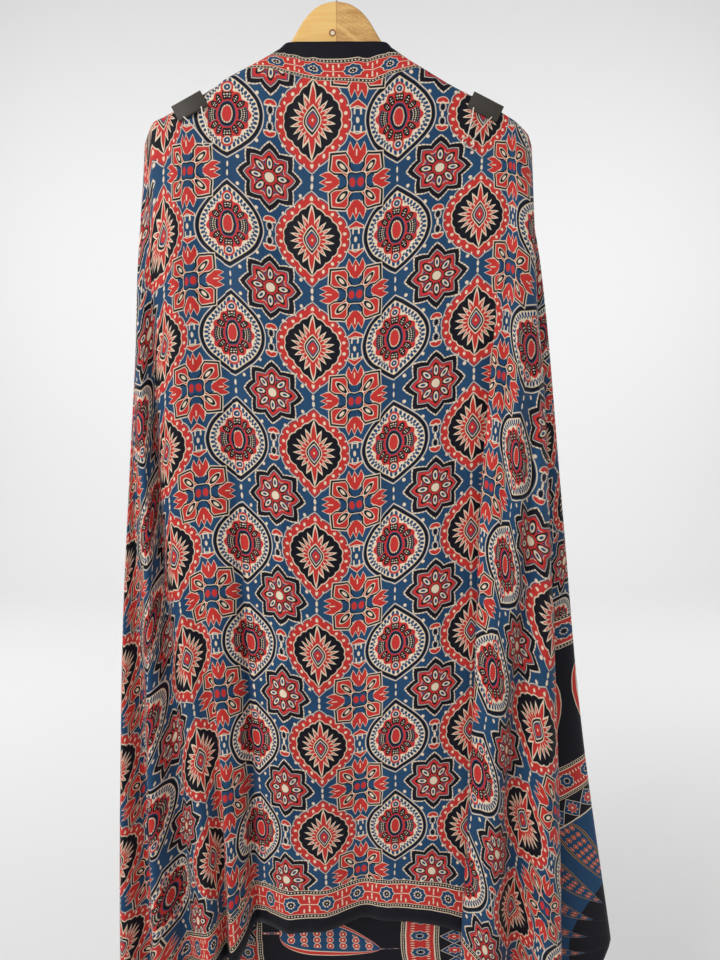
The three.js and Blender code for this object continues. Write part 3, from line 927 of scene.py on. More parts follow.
OVER, SIDE, BACK, END = Layer.OVER, Layer.SIDE, Layer.BACK, Layer.END
THREADS = (
    Thread("tucked end", SIDE, (165, 168, 190, 232, 250, 262), (15, 15, 8, -14, -24, -28),
           (-372, -352, -1500), (420, 460, 560, 620)),
    Thread("outer fold", SIDE, (200, 208, 255, 277, 294, 306), (15, 15, 6, -24, -44, -52),
           (-344, -322, -1488), (350, 410, 500, 560)),
    Thread("outer ridge", SIDE, (235, 244, 254, 264, 268, 275), (13, 10, -6, -42, -68, -78),
           (-276, -256, -1442), (322, 385, 450, 512)),
    Thread("right trough", SIDE, (235, 240, 246, 247, 232, 245), (7, 1, -14, -34, -38, -36),
           (-236, -226, -1400), (300, 364, 396, 455)),
    Thread("flap middle", OVER, (222, 224, 229, 226, 208, 204), (0, 0, -18, -54, -76, -84),
           (0, 0, -1362), (280, 334, 354, 406)),
    Thread("flap front", OVER, (214, 216, 218, 203, 186, 176), (0, 0, -16, -56, -78, -88),
           (0, 0, -1334), (260, 284, 320, 358)),
    Thread("flap edge", OVER, (206, 206, 207, 182, 173, 161), (0, 0, -15, -46, -64, -72),
           (0, 0, -1312), (245, 246, 292, 318)),
    Thread("under the flap", OVER, (196, 196, 198, 204, 212, 214), (0, 0, -13, -14, -20, -22),
           (0, 0, -1292), (232, 238, 250, 258)),
    Thread("right red column", OVER, (182, 182, 178, 173, 176, 172), (0, 0, -13, -16, -24, -28),
           (0, 0, -1284), (210, 210, 210, 210)),
    Thread("right star column", OVER, (132, 132, 126, 126, 129, 127), (0, 0, -14, -20, -22, -22),
           (0, 0, -1276), (157.5, 157.5, 157.5, 157.5)),
    Thread("right ogee column", OVER, (78, 78, 75, 72, 77, 77), (0, 0, -14, -18, -18, -16),
           (0, 0, -1276), (105, 105, 105, 105)),
    Thread("right neck slope", OVER, (66, 66, 63, 60, 64, 66), (0, 0, -14, -18, -16, -14),
           (0, 0, -1277), (92, 92, 92, 92)),
    Thread("right neck corner", OVER, (55, 55, 52, 50, 54, 56), (0, 0, -15, -18, -14, -12),
           (0, 0, -1277), (80, 80, 80, 80)),
    Thread("cross column", OVER, (26, 27, 24, 22, 28, 31), (0, 0, -15, -15, -8, -6),
           (0, 0, -1278), (52.5, 52.5, 52.5, 52.5)),
    Thread("middle column", OVER, (-28, -28, -31, -30, -26, -15), (0, 0, -14, -18, -22, -24),
           (0, 0, -1284), (0, 0, 0, 0)),
    Thread("left neck corner", OVER, (-55, -55, -58, -57, -50, -44), (0, 0, -14, -19, -24, -26),
           (0, 0, -1284), (-27, -27, -27, -27)),
    Thread("left neck slope", OVER, (-67, -67, -70, -69, -61, -58), (0, 0, -14, -20, -25, -27),
           (0, 0, -1284), (-39, -39, -39, -39)),
    Thread("left star column", OVER, (-80, -80, -84, -82, -73, -72), (0, 0, -14, -20, -26, -28),
           (0, 0, -1284), (-52.5, -52.5, -52.5, -52.5)),
    Thread("left ogee column", OVER, (-134, -134, -136, -126, -112, -100), (0, 0, -13, -14, -14, -14),
           (0, 0, -1282), (-105, -105, -105, -105)),
    Thread("left trough", OVER, (-146, -146, -146, -135, -122, -121), (0, 0, -12, -8, 0, 6),
           (0, 0, -1297), (-116, -113, -113, -127)),
    Thread("trough shoulder", OVER, (-162, -162, -164, -150, -135, -132), (0, 0, -12, -14, -18, -22),
           (0, 0, -1315), (-135, -131, -132, -143)),
    Thread("left cross column", OVER, (-186, -186, -188, -177, -157, -146), (0, 0, -13, -22, -32, -38),
           (0, 0, -1330), (-158, -158, -163, -166)),
    Thread("crease", OVER, (-200, -200, -203, -200, -166, -158), (0, 0, -13, -22, -18, -10),
           (0, 0, -1336), (-184, -184, -180, -200)),
    Thread("left red column", OVER, (-212, -213, -218, -219, -192, -172), (0, 0, -10, -16, -34, -44),
           (0, 0, -1341), (-210, -210, -217, -240)),
    Thread("shoulder end", OVER, (-224, -228, -231, -229, -208, -194), (0, 0, -8, -8, -22, -30),
           (0, 0, -1350), (-225, -228, -238, -288)),
    Thread("shoulder trough", SIDE, (-233, -238, -238, -238, -224, -215), (7, 1, -4, 6, -6, -6),
           (-240, -228, -1368), (-238, -252, -264, -332), (5, 40, 0, 0)),
    Thread("shoulder ridge", SIDE, (-230, -243, -252, -250, -250, -246), (13, 9, -6, -22, -40, -52),
           (-258, -240, -1398), (-266, -327, -308, -362)),
    Thread("side trough", SIDE, (-208, -232, -257, -268, -267, -268), (15, 15, 4, 0, -2, -6),
           (-278, -258, -1416), (-288, -360, -352, -388), (35, 25, 15, 0)),
    Thread("side ridge", SIDE, (-170, -205, -252, -280, -292, -300), (15, 16, 14, -8, -26, -36),
           (-296, -274, -1438), (-345, -412, -410, -425)),
    Thread("left turn", SIDE, (-118, -150, -228, -277, -298, -310), (15, 17, 22, 18, 10, 6),
           (-306, -282, -1446), (-382, -447, -448, -452)),
    Thread("back left", BACK, (-56, -78, -150, -222, -258, -274), (16, 18, 26, 40, 44, 46),
           (-312, -288, -1444)),
    Thread("back first ridge", BACK, (4, -6, -60, -120, -160, -178), (17, 19, 30, 58, 72, 78),
           (-314, -290, -1438)),
    Thread("back first trough", BACK, (58, 52, 14, -36, -70, -84), (18, 19, 26, 42, 48, 50),
           (-312, -288, -1430)),
    Thread("back second ridge", BACK, (110, 106, 82, 50, 26, 16), (18, 20, 32, 60, 76, 84),
           (-304, -280, -1422)),
    Thread("back second trough", BACK, (156, 155, 144, 128, 116, 112), (18, 20, 26, 42, 50, 52),
           (-292, -268, -1414)),
    Thread("back third ridge", BACK, (196, 198, 202, 206, 214, 222), (19, 21, 28, 56, 72, 80),
           (-276, -254, -1408)),
    Thread("back right", BACK, (214, 219, 236, 260, 288, 316), (20, 21, 24, 38, 48, 54),
           (-262, -242, -1396)),
    Thread("right turn", BACK, (228, 233, 264, 299, 337, 392), (16, 15, 13, 14, 18, 22),
           (-256, -240, -1326)),
    Thread("end cascade", END, (224, 227, 246, 268, 304, 342), (12, 11, 9, -2, -2, 0), (-290, -268, -1404)),
    Thread("end ridge", END, (222, 222, 224, 228, 250, 262), (10, 10, 11, 10, 14, 18), (-330, -304, -1412)),
    Thread("end middle", END, (176, 174, 172, 166, 168, 166), (8, 8, 8, 14, 20, 24), (-400, -370, -1408)),
    Thread("end paisleys", END, (110, 106, 98, 84, 74, 70), (6, 6, 8, 14, 22, 26), (-480, -446, -1402)),
    Thread("end trough", END, (40, 34, 22, 4, -14, -22), (6, 6, 8, 16, 24, 30), (-600, -560, -1396)),
    Thread("end corner", END, (-30, -36, -50, -78, -108, -128), (8, 8, 10, 18, 26, 30),
           (-720, -678, -1392)),
)


STATIONS = (0.0, 0.07, 0.2, 0.45, 0.72, 1.0)

# How far the print hangs lower than on the front panel, by its place across: place, drop in millimetres
# at the chest, and drop at the knee.
DROPS = (
    (-440, 200, 190), (-367, 140, 160), (-315, 115, 122), (-262, 82, 74), (-210, 12, 24), (-157, 0, 4),
    (-105, -4, 6), (-52, 9, 3), (0, 16, 21), (52, 16, 22), (105, 5, 4), (157, -5, -3), (210, -16, -13),
    (262, -16, -15), (315, 15, 22), (367, 56, 70), (420, 92, 96), (472, 155, 160), (525, 200, 190),
    (620, 250, 230),
)

# Where the border's two dotted strips lie below the selvedge, by the place across the print. The cloth is
# pulled up over the arms on both sides of the neck, so the border narrows there.
BORDER_RUNS = (
    (-240, 25.5, 61.5), (-170, 11, 27), (-105, 11, 27), (-52, 13, 29.5), (5, 21, 43), (70, 20, 46),
    (90, 15, 37), (130, 11, 27), (180, 11, 27), (240, 25.5, 61.5),
)

# The top line of the hanger: distance from the middle and height.
ARM_TOP = (
    (0, -70), (15, -72.5), (28, -79.5), (39, -90.5), (47, -102.5), (54, -114), (62, -123), (74, -132),
    (88, -142), (104, -152), (130, -165.5), (165, -183), (200, -201), (216, -210), (222, -216),
)


def along_spline(places: tuple[float, ...], values: tuple[float, ...], at: float) -> float:
    """One number out of a row of values by a Catmull-Rom spline through unevenly spaced places.

    Args:
        places: where each value stands.
        values: the values.
        at: the place that is asked for.

    Returns:
        The value there.
    """
    i = 0
    while i < len(places) - 2 and at > places[i + 1]:
        i += 1
    span = places[i + 1] - places[i]
    before = max(i - 1, 0)
    after = min(i + 2, len(places) - 1)
    here = (values[i + 1] - values[before]) / (places[i + 1] - places[before])
    there = (values[after] - values[i]) / (places[after] - places[i])
    t = (at - places[i]) / span
    t2, t3 = t * t, t * t * t
    return ((2 * t3 - 3 * t2 + 1) * values[i] + (t3 - 2 * t2 + t) * span * here
            + (3 * t2 - 2 * t3) * values[i + 1] + (t3 - t2) * span * there)


def straight(table: tuple[tuple[float, ...], ...], at: float, column: int) -> float:
    """One number out of a table by straight lines between its rows.

    Args:
        table: rows that begin with the place.
        at: the place that is asked for.
        column: which value of a row it is.

    Returns:
        The value there.
    """
    if at <= table[0][0]:
        return table[0][column]
    for low, high in zip(table, table[1:]):
        if at <= high[0]:
            share = (at - low[0]) / (high[0] - low[0])
            return low[column] + (high[column] - low[column]) * share
    return table[-1][column]


@dataclass
class Stitch:
    """A point of the sheet with its place on the print, in millimetres."""

    place: Vector
    u: float = 0.0
    v: float = 0.0
    run: float = 0.0
    tucked: float = 0.0


@dataclass(frozen=True)
class Crease:
    """A soft trough or ridge that runs down the front, in millimetres.

    depth is how far it stands towards the front, below nought for a trough.
    """

    top: tuple[float, float]
    foot: tuple[float, float]
    width: float
    depth: float


CREASES = (
    Crease((-58, -150), (-96, -900), 16, -3.0),
    Crease((-86, -420), (-62, -1260), 20, 3.5),
    Crease((10, -140), (-6, -820), 22, 2.0),
    Crease((60, -520), (96, -1270), 16, -3.0),
    Crease((104, -200), (104, -1000), 22, 2.5),
    Crease((148, -230), (150, -1240), 14, -3.0),
    Crease((-170, -260), (-176, -900), 9, -3.0),
    Crease((-112, -260), (-122, -760), 12, 2.5),
    Crease((-204, -300), (-212, -820), 8, 3.0),
    Crease((-233, -330), (-262, -1100), 8, -3.5),
    Crease((214, -300), (208, -900), 8, -3.0),
    Crease((228, -420), (232, -1300), 9, 3.0),
)


@dataclass
class ClothSheet:
    """The printed cloth, draped over the arms and down both sides."""

    thickness: float = 1.0
    steps_across: int = 7
    steps_wrap: int = 12
    steps_down: int = 120
    top_edge: float = -120.0
    wrap_radius: float = 11.2
    wrap_lift: float = 5.0
    slack_height: float = 7.5
    slack_x: float = -116.0
    slack_reach: float = 26.0
    tuck_from: float = 66.0
    tuck_reach: float = 12.0
    tuck_depth: float = 8.0
    fan_x: float = 478.0
    fan_z: float = -1330.0
    fan_squash: float = 0.78
    fan_along: float = 500.0
    depth: float = PLAN.depth
    short_wrap: float = 30.0

    def crest(self, x: float) -> float:
        """The height over which the cloth folds, at a place along the hanger.

        Args:
            x: the place along the hanger.

        Returns:
            The height of the fold.
        """
        places = tuple(row[0] for row in ARM_TOP)
        tops = tuple(row[1] for row in ARM_TOP)
        slack = self.slack_height * math.exp(-((x - self.slack_x) / self.slack_reach) ** 2)
        return along_spline(places, tops, min(abs(x), places[-1])) + self.wrap_lift + slack

    def wrapped(self, thread: Thread) -> list[Stitch]:
        """The points of a thread above the chest, down the back of the arm, over it and down the front.

        Args:
            thread: the thread.

        Returns:
            Its points from the back edge to the front.
        """
        stitches = []
        radius = self.wrap_radius
        bend = self.crest(thread.x[1]) - radius
        tuck = self.tuck_depth * min(max((abs(thread.x[1]) - self.tuck_from) / self.tuck_reach, 0.0), 1.0)
        above = max(self.top_edge - bend, 0.0) + tuck
        start = min(self.top_edge, bend)
        for step in range(self.steps_wrap + 1):
            share = step / self.steps_wrap
            left = above * (1 - share)
            x = thread.x[0] + (thread.x[1] - thread.x[0]) * share
            if left > math.pi * radius:
                place = Vector((x, radius, start - (left - math.pi * radius)))
            else:
                angle = left / radius
                place = Vector((x, -radius * math.cos(angle), start + radius * math.sin(angle)))
            v = above * share - tuck
            if above == 0:
                v = self.short_wrap * share
                place.z = self.top_edge - v
            stitches.append(Stitch(place, 0.0, v, v))
        return stitches

    def drop(self, u: float, share: float) -> float:
        """How much lower the print hangs at a place across, by the share of the way down."""
        low = min(max((share - STATIONS[2]) / (STATIONS[4] - STATIONS[2]), 0.0), 1.0)
        return straight(DROPS, u, 1) * (1 - low) + straight(DROPS, u, 2) * low

    def stitches(self, thread: Thread) -> list[Stitch]:
        """A thread's points from its top selvedge to its hem, with their places on the print.

        Args:
            thread: the thread.

        Returns:
            Its points from top to bottom.
        """
        edge_z, crest_z, hem_z = thread.z
        us = (thread.u[0], thread.u[0], *thread.u) if thread.u else (0.0,) * 6
        hem_drop = self.top_edge - self.depth - hem_z
        if thread.layer in (BACK, END):
            edge_drop = self.top_edge - edge_z
            drops = tuple(edge_drop + (hem_drop - edge_drop) * s for s in STATIONS)
        else:
            middle = tuple(self.drop(us[i], STATIONS[i]) for i in (2, 3, 4))
            first = 0.0 if thread.layer is OVER else middle[0]
            drops = (first, first, *middle, hem_drop)
        points = []
        if thread.layer is OVER:
            points = self.wrapped(thread)
            for stitch in points:
                stitch.u = us[0]
        else:
            for step in range(self.steps_wrap + 1):
                share = step / self.steps_wrap
                at = share * STATIONS[1]
                z = edge_z + (crest_z - edge_z) * share
                x, y = along_spline(STATIONS, thread.x, at), along_spline(STATIONS, thread.y, at)
                place = Vector((x, y, z))
                v = self.top_edge - z - drops[0]
                points.append(Stitch(place, us[0], v, v))
        start = points[-1].place
        xs = (start.x, *thread.x[2:])
        ys = (start.y, *thread.y[2:])
        for step in range(1, self.steps_down + 1):
            share = step / self.steps_down
            at = STATIONS[1] + share * (1 - STATIONS[1])
            z = start.z + (hem_z - start.z) * share
            place = Vector((along_spline(STATIONS[1:], xs, at), along_spline(STATIONS[1:], ys, at), z))
            u = along_spline(STATIONS[1:], us[1:], at)
            v = self.top_edge - z - along_spline(STATIONS[1:], drops[1:], at)
            tucked = straight(tuple(zip(STATIONS[2:], thread.tucked)), at, 1)
            run = self.top_edge - z if thread.layer is OVER else v
            points.append(Stitch(place, u, v, run, tucked))
        return points

    def crease(self, place: Vector) -> float:
        """How far the fine creases move a point of the front layers towards the front.

        Args:
            place: the point.

        Returns:
            The move in millimetres.
        """
        total = 0.0
        for crease in CREASES:
            span = crease.top[1] - crease.foot[1]
            share = (crease.top[1] - place.z) / span
            if -0.15 < share < 1.15:
                middle = crease.top[0] + (crease.foot[0] - crease.top[0]) * share
                fade = min(max((share + 0.15) / 0.3, 0.0), 1.0) * min(max((1.15 - share) / 0.3, 0.0), 1.0)
                total += crease.depth * fade * math.exp(-((place.x - middle) / crease.width) ** 2)
        return total

    def grid(self) -> list[list[Stitch]]:
        """The sheet as columns of points with soft curves between the threads.

        Returns:
            The columns, from the tucked end to the decorated one.
        """
        threads = [self.stitches(thread) for thread in THREADS]
        order = tuple(range(len(threads)))
        rows = len(threads[0])
        rails = []
        for row in range(rows):
            stitches = [thread[row] for thread in threads]
            rails.append((tuple(s.place.x for s in stitches), tuple(s.place.y for s in stitches),
                          tuple(s.place.z for s in stitches), tuple(s.u for s in stitches),
                          tuple(s.v for s in stitches), tuple(s.run for s in stitches),
                          tuple(s.tucked for s in stitches)))
        turn = self.index("left turn")
        columns = []
        for step in range((len(threads) - 1) * self.steps_across + 1):
            at = step / self.steps_across
            columns.append([Stitch(Vector(tuple(along_spline(order, line, at) for line in rail[:3])))
                            for rail in rails])
        self.share_print(columns, rails)
        for column in columns[:turn * self.steps_across]:
            for stitch in column:
                stitch.place.y -= self.crease(stitch.place)
        first = turn * self.steps_across
        for i in range(first + 1, len(columns)):
            for before, stitch in zip(columns[i - 1], columns[i]):
                stitch.u = before.u - (stitch.place - before.place).length
        return columns

    def share_print(self, columns: list[list[Stitch]], rails: list[tuple[tuple[float, ...], ...]]) -> None:
        """Spreads the print evenly over the cloth between each thread and the next.

        Args:
            columns: the sheet's points, whose places on the print are filled in.
            rails: for each row, the threads' x, y and z and their places across and down the print.
        """
        last = len(rails[0][0]) - 1
        for row, (_, _, heights, across, down, below, tucked) in enumerate(rails):
            for thread in range(last):
                first = thread * self.steps_across
                run = [columns[first + k][row] for k in range(self.steps_across + 1)]
                lengths = [0.0]
                for here, there in zip(run, run[1:]):
                    lengths.append(lengths[-1] + (there.place - here.place).length)
                run[0].tucked = tucked[thread]
                for stitch, length in zip(run, lengths):
                    share = length / lengths[-1]
                    start = across[thread] - tucked[thread]
                    stitch.u = start + (across[thread + 1] - start) * share
                    front = row > self.steps_wrap
                    stitch.v = self.level(down, heights, thread, share, stitch.place.z, front)
                    stitch.run = self.level(below, heights, thread, share, stitch.place.z, front)

    @staticmethod
    def level(runs: tuple[float, ...], heights: tuple[float, ...], thread: int, share: float, z: float,
              front: bool) -> float:
        """How far below the selvedge a point lies, between a thread and the next.

        Args:
            runs: how far below it each thread is in this row.
            heights: each thread's height in this row.
            thread: the first of the two threads.
            share: how far the point is from the first to the second.
            z: its height.
            front: whether the row hangs free, so that its distance follows its height.

        Returns:
            The distance down the print.
        """
        if not front:
            return runs[thread] + (runs[thread + 1] - runs[thread]) * share
        first, second = runs[thread] + heights[thread], runs[thread + 1] + heights[thread + 1]
        return first + (second - first) * share - z

    @staticmethod
    def rise(stitch: Stitch) -> float:
        """A point's distance across the border from the selvedge.

        Args:
            stitch: the point.

        Returns:
            The distance in millimetres.
        """
        upper, lower = straight(BORDER_RUNS, stitch.u, 1), straight(BORDER_RUNS, stitch.u, 2)
        first, second = BORDER_RUNS[0][1:]
        return first + (second - first) * (stitch.run - upper) / (lower - upper)

    def index(self, fold: str) -> int:
        """The place of a thread in the table."""
        return [thread.fold for thread in THREADS].index(fold)

    def fan(self, stitch: Stitch) -> tuple[float, float]:
        """A point's place on the decorated end, which spreads like a fan about its lower corner.

        Args:
            stitch: the point.

        Returns:
            How far from the corner it is, and how far round.
        """
        dx = stitch.place.x - self.fan_x
        dz = (stitch.place.z - self.fan_z) / self.fan_squash
        return (math.hypot(dx, dz) * MM, math.atan2(dz, -dx) * self.fan_along * MM)

    def build(self, material: bpy.types.Material) -> bpy.types.Object:
        """Makes the sheet's mesh with its print coordinates.

        Args:
            material: the cloth's material.

        Returns:
            The finished sheet.
        """
        columns = self.grid()
        rows = len(columns[0])
        points = [stitch.place * MM for column in columns for stitch in column]
        end_from = self.index("right turn") * self.steps_across
        faces = []
        maps = {"print": [], "border": [], "fan": []}
        for i in range(len(columns) - 1):
            for j in range(rows - 1):
                corners = ((i, j), (i, j + 1), (i + 1, j + 1), (i + 1, j))
                faces.append(tuple(a * rows + b for a, b in corners))
                for a, b in corners:
                    stitch = columns[a][b]
                    u = stitch.u + stitch.tucked if a > i else stitch.u
                    maps["print"].append((u * MM, stitch.v * MM))
                    maps["border"].append((u * MM, self.rise(stitch) * MM))
                    maps["fan"].append(self.fan(stitch) if i >= end_from else (2.0, 0.0))
        mesh = bpy.data.meshes.new("ajrakh_sheet")
        mesh.from_pydata(points, [], faces)
        for name, places in maps.items():
            layer = mesh.uv_layers.new(name=name)
            for loop, place in zip(layer.data, places):
                loop.uv = place
        mesh.materials.append(material)
        for polygon in mesh.polygons:
            polygon.use_smooth = True
        widths = []
        for j in range(rows):
            widths.append(sum((columns[i + 1][j].place - columns[i][j].place).length
                              for i in range(len(columns) - 1)))
        flat = (max(widths) * MM, self.depth * MM)
        cloth = bpy.data.objects.new("ajrakh_sheet", mesh)
        bpy.context.scene.collection.objects.link(cloth)
        bpy.ops.object.select_all(action="DESELECT")
        bpy.context.view_layer.objects.active = cloth
        cloth.select_set(True)
        solid = cloth.modifiers.new("thickness", "SOLIDIFY")
        solid.thickness = self.thickness * MM
        solid.offset = 0.0
        bpy.ops.object.modifier_apply(modifier=solid.name)
        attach(cloth, BODY)
        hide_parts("cloth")
        LOG.info("cloth sheet %.3f x %.3f m", *flat)
        return cloth


# The hanger, its hook and the clips


@dataclass(frozen=True)
class Plug:
    """The round wooden plug beside the seam, in millimetres, with its two colours."""

    x: float = -4.6
    z: float = -107.6
    radius: float = 4.3
    core: float = 2.6
    rim: str = "8A5226"
    middle: str = "F6E3C4"


PLUG = Plug()


@dataclass(frozen=True)
class WoodFinish:
    """Varnished wood with long grain and, on a figured board, a curly cross grain."""

    name: str
    pale: str
    dark: str
    figure: float
    streak: float

    def material(self) -> bpy.types.Material:
        """Builds the material.

        Returns:
            The material.
        """
        sketch = Surface(self.name)
        where = sketch.place()
        split = sketch.node("ShaderNodeSeparateXYZ")
        sketch.feed(split.inputs[0], where)
        x = Term(sketch, split.outputs["X"]) * 1000.0
        z = Term(sketch, split.outputs["Z"]) * 1000.0
        stretch = sketch.node("ShaderNodeMapping")
        stretch.inputs["Scale"].default_value = (26.0, 190.0, 190.0)
        stretch.inputs["Rotation"].default_value = (0.0, math.radians(-24.0), 0.0)
        sketch.feed(stretch.inputs["Vector"], where)
        fibre = sketch.noise(stretch.outputs[0], 1.0, 5.0)
        cloud = sketch.noise(where, 34.0, 3.0)
        curl = sketch.noise(where, 330.0, 4.0)
        ripple = sketch.math("SINE", x * 0.7 + z * 1.3 + curl * 16.0) * 0.5
        tone = sketch.math("MULTIPLY_ADD", fibre, 1.3, 0.42) + cloud * 0.5 + ripple * self.figure
        flash = abs(z + x * 0.74 + 98.0 + cloud * 8.0).below(2.2, 4.0) * self.streak
        tone = sketch.math("SUBTRACT", tone, flash, clamp=True)
        sketch.coat = sketch.mix(tone, linear(self.pale), linear(self.dark))
        plug = sketch.length(x - PLUG.x, z - PLUG.z)
        sketch.coat = sketch.mix(plug.below(PLUG.radius, 0.8), sketch.coat, linear(PLUG.rim))
        sketch.coat = sketch.mix(plug.below(PLUG.core, 0.6), sketch.coat, linear(PLUG.middle))
        shader = sketch.close(fibre, 0.15, 0.0004)
        sketch.feed(shader.inputs["Roughness"], sketch.math("MULTIPLY_ADD", fibre, 0.2, 0.38))
        shader.inputs["Coat Weight"].default_value = 0.25
        shader.inputs["Coat Roughness"].default_value = 0.2
        return sketch.material


@dataclass(frozen=True)
class MetalFinish:
    """Plated wire or enamelled spring plate with faint scuffs."""

    name: str
    colour: str
    worn: str
    metallic: float
    roughness: float

    def material(self) -> bpy.types.Material:
        """Builds the material.

        Returns:
            The material.
        """
        sketch = Surface(self.name)
        where = sketch.place()
        cloud = sketch.noise(where, 160.0, 4.0)
        fine = sketch.noise(where, 1400.0, 2.0)
        worn = sketch.math("MULTIPLY_ADD", cloud, 1.4, 0.4, clamp=True)
        sketch.coat = sketch.mix(worn, linear(self.colour), linear(self.worn))
        shader = sketch.close(fine, 0.1, 0.0002)
        sketch.feed(shader.inputs["Roughness"], sketch.math("MULTIPLY_ADD", cloud, 0.15, self.roughness))
        shader.inputs["Metallic"].default_value = self.metallic
        return sketch.material


class Bench:
    """The steps in Blender that the rigid pieces share."""

    @staticmethod
    def clear() -> None:
        """Leaves nothing selected."""
        bpy.ops.object.select_all(action="DESELECT")

    @classmethod
    def board(cls, name: str, outline: list[tuple[float, float]], thickness: float) -> bpy.types.Object:
        """Makes a flat board from its outline.

        Args:
            name: the piece's name.
            outline: its corners across and up, in millimetres.
            thickness: how thick it is, centred on the middle plane.

        Returns:
            The piece, with its sides pulled out by an extrude.
        """
        cls.clear()
        bpy.ops.mesh.primitive_circle_add(vertices=len(outline), radius=0.1, fill_type="NGON")
        piece = bpy.context.object
        piece.name = name
        for vertex, (x, z) in zip(piece.data.vertices, outline):
            vertex.co = (x * MM, -thickness / 2 * MM, z * MM)
        bpy.ops.object.mode_set(mode="EDIT")
        bpy.ops.mesh.select_all(action="SELECT")
        bpy.ops.mesh.extrude_region_move(TRANSFORM_OT_translate={"value": (0.0, thickness * MM, 0.0)})
        bpy.ops.mesh.select_all(action="SELECT")
        bpy.ops.mesh.normals_make_consistent(inside=False)
        bpy.ops.object.mode_set(mode="OBJECT")
        return piece

    @classmethod
    def wire(cls, name: str, points: list[Vector], diameter: float) -> bpy.types.Object:
        """Makes a round wire through points, in metres.

        Args:
            name: the piece's name.
            points: where it runs, in metres.
            diameter: how thick it is, in millimetres.

        Returns:
            The piece.
        """
        cls.clear()
        bpy.ops.curve.primitive_bezier_curve_add()
        piece = bpy.context.object
        piece.name = name
        curve = piece.data
        curve.splines.clear()
        spline = curve.splines.new("BEZIER")
        spline.bezier_points.add(len(points) - 1)
        for knot, point in zip(spline.bezier_points, points):
            knot.co = point
            knot.handle_left_type = "AUTO"
            knot.handle_right_type = "AUTO"
        curve.dimensions = "3D"
        curve.resolution_u = 8
        curve.bevel_depth = diameter / 2 * MM
        curve.bevel_resolution = 4
        curve.use_fill_caps = True
        bpy.ops.object.convert(target="MESH")
        return bpy.context.object

    @staticmethod
    def soften(piece: bpy.types.Object, width: float) -> None:
        """Rounds a piece's sharp edges by a width in millimetres and smooths its shading.

        Args:
            piece: the piece.
            width: how far each edge is cut back.
        """
        bevel = piece.modifiers.new("rounded edges", "BEVEL")
        bevel.width = width * MM
        bevel.segments = 2
        bevel.limit_method = "ANGLE"
        bevel.angle_limit = math.radians(30.0)
        bpy.ops.object.modifier_apply(modifier=bevel.name)
        bpy.ops.object.shade_smooth_by_angle(angle=math.radians(40.0))

    @staticmethod
    def finish(piece: bpy.types.Object, material: bpy.types.Material, slot: str, *nodes: str) -> None:
        """Gives a piece its material and its place in the frame.

        Args:
            piece: the piece.
            material: its material.
            slot: not used.
            nodes: the nodes that it stands for.
        """
        piece.data.materials.clear()
        piece.data.materials.append(material)
        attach(piece, BODY)
        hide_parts(*nodes)
        LOG.info("%s: %d faces", piece.name, len(piece.data.polygons))


# The lower line of the hanger: distance from the middle and height.
ARM_FOOT = (
    (0, -150), (15, -151), (28, -153), (39, -156), (47, -158), (54, -161), (62, -164), (74, -168),
    (88, -173), (104, -180), (130, -190), (165, -206), (200, -222), (216, -228), (222, -227),
)


@dataclass
class Hanger:
    """The wooden hanger, glued up from a plain left half and a figured right half."""

    thickness: float = 13.0
    half_span: float = 222.0
    edge_round: float = 3.6
    seam: float = 0.15
    steps: int = 44
    left: WoodFinish = WoodFinish("pale smooth wood", "FFD88C", "F4B65C", 0.0, 0.0)
    right: WoodFinish = WoodFinish("figured wood", "F3C47C", "BC8040", 0.30, 0.7)

    def outline(self, side: int) -> list[tuple[float, float]]:
        """One half's outline, along the top from the seam and back along the foot.

        Args:
            side: -1 for the left half and 1 for the right.

        Returns:
            The corners, across and up.
        """
        top, foot = [], []
        for step in range(self.steps + 1):
            out = self.half_span * step / self.steps
            outer = max(out, self.seam)
            top.append((side * outer, self.height(ARM_TOP, out)))
            foot.append((side * outer, self.height(ARM_FOOT, out)))
        return top + foot[::-1]

    @staticmethod
    def height(table: tuple[tuple[float, float], ...], out: float) -> float:
        """The height of a line of the hanger at a distance from the middle."""
        places = tuple(row[0] for row in table)
        return along_spline(places, tuple(row[1] for row in table), out)

    def half(self, side: int, finish: WoodFinish, node: str) -> None:
        """Makes one half.

        Args:
            side: -1 for the left half and 1 for the right.
            finish: its wood.
            node: the node that it stands for.
        """
        piece = Bench.board(node.replace("hanger", "wood"), self.outline(side), self.thickness)
        bpy.ops.object.mode_set(mode="EDIT")
        bpy.ops.mesh.select_mode(type="EDGE")
        bpy.ops.mesh.select_all(action="DESELECT")
        bpy.ops.object.mode_set(mode="OBJECT")
        seam = self.seam * 1.5 * MM
        for edge in piece.data.edges:
            ends = [piece.data.vertices[v].co for v in edge.vertices]
            flat = abs(ends[0].y - ends[1].y) < 1e-6
            edge.select = flat and not all(abs(end.x) < seam for end in ends)
        bpy.ops.object.mode_set(mode="EDIT")
        bpy.ops.mesh.bevel(offset=self.edge_round * MM, segments=4, affect="EDGES")
        bpy.ops.object.mode_set(mode="OBJECT")
        bpy.ops.object.shade_smooth_by_angle(angle=math.radians(40.0))
        Bench.finish(piece, finish.material(), "wood_pale" if side < 0 else "wood_figured", node)

    def build(self) -> None:
        """Makes both halves."""
        self.half(-1, self.left, "hanger_left_arm")
        self.half(1, self.right, "hanger_right_arm")


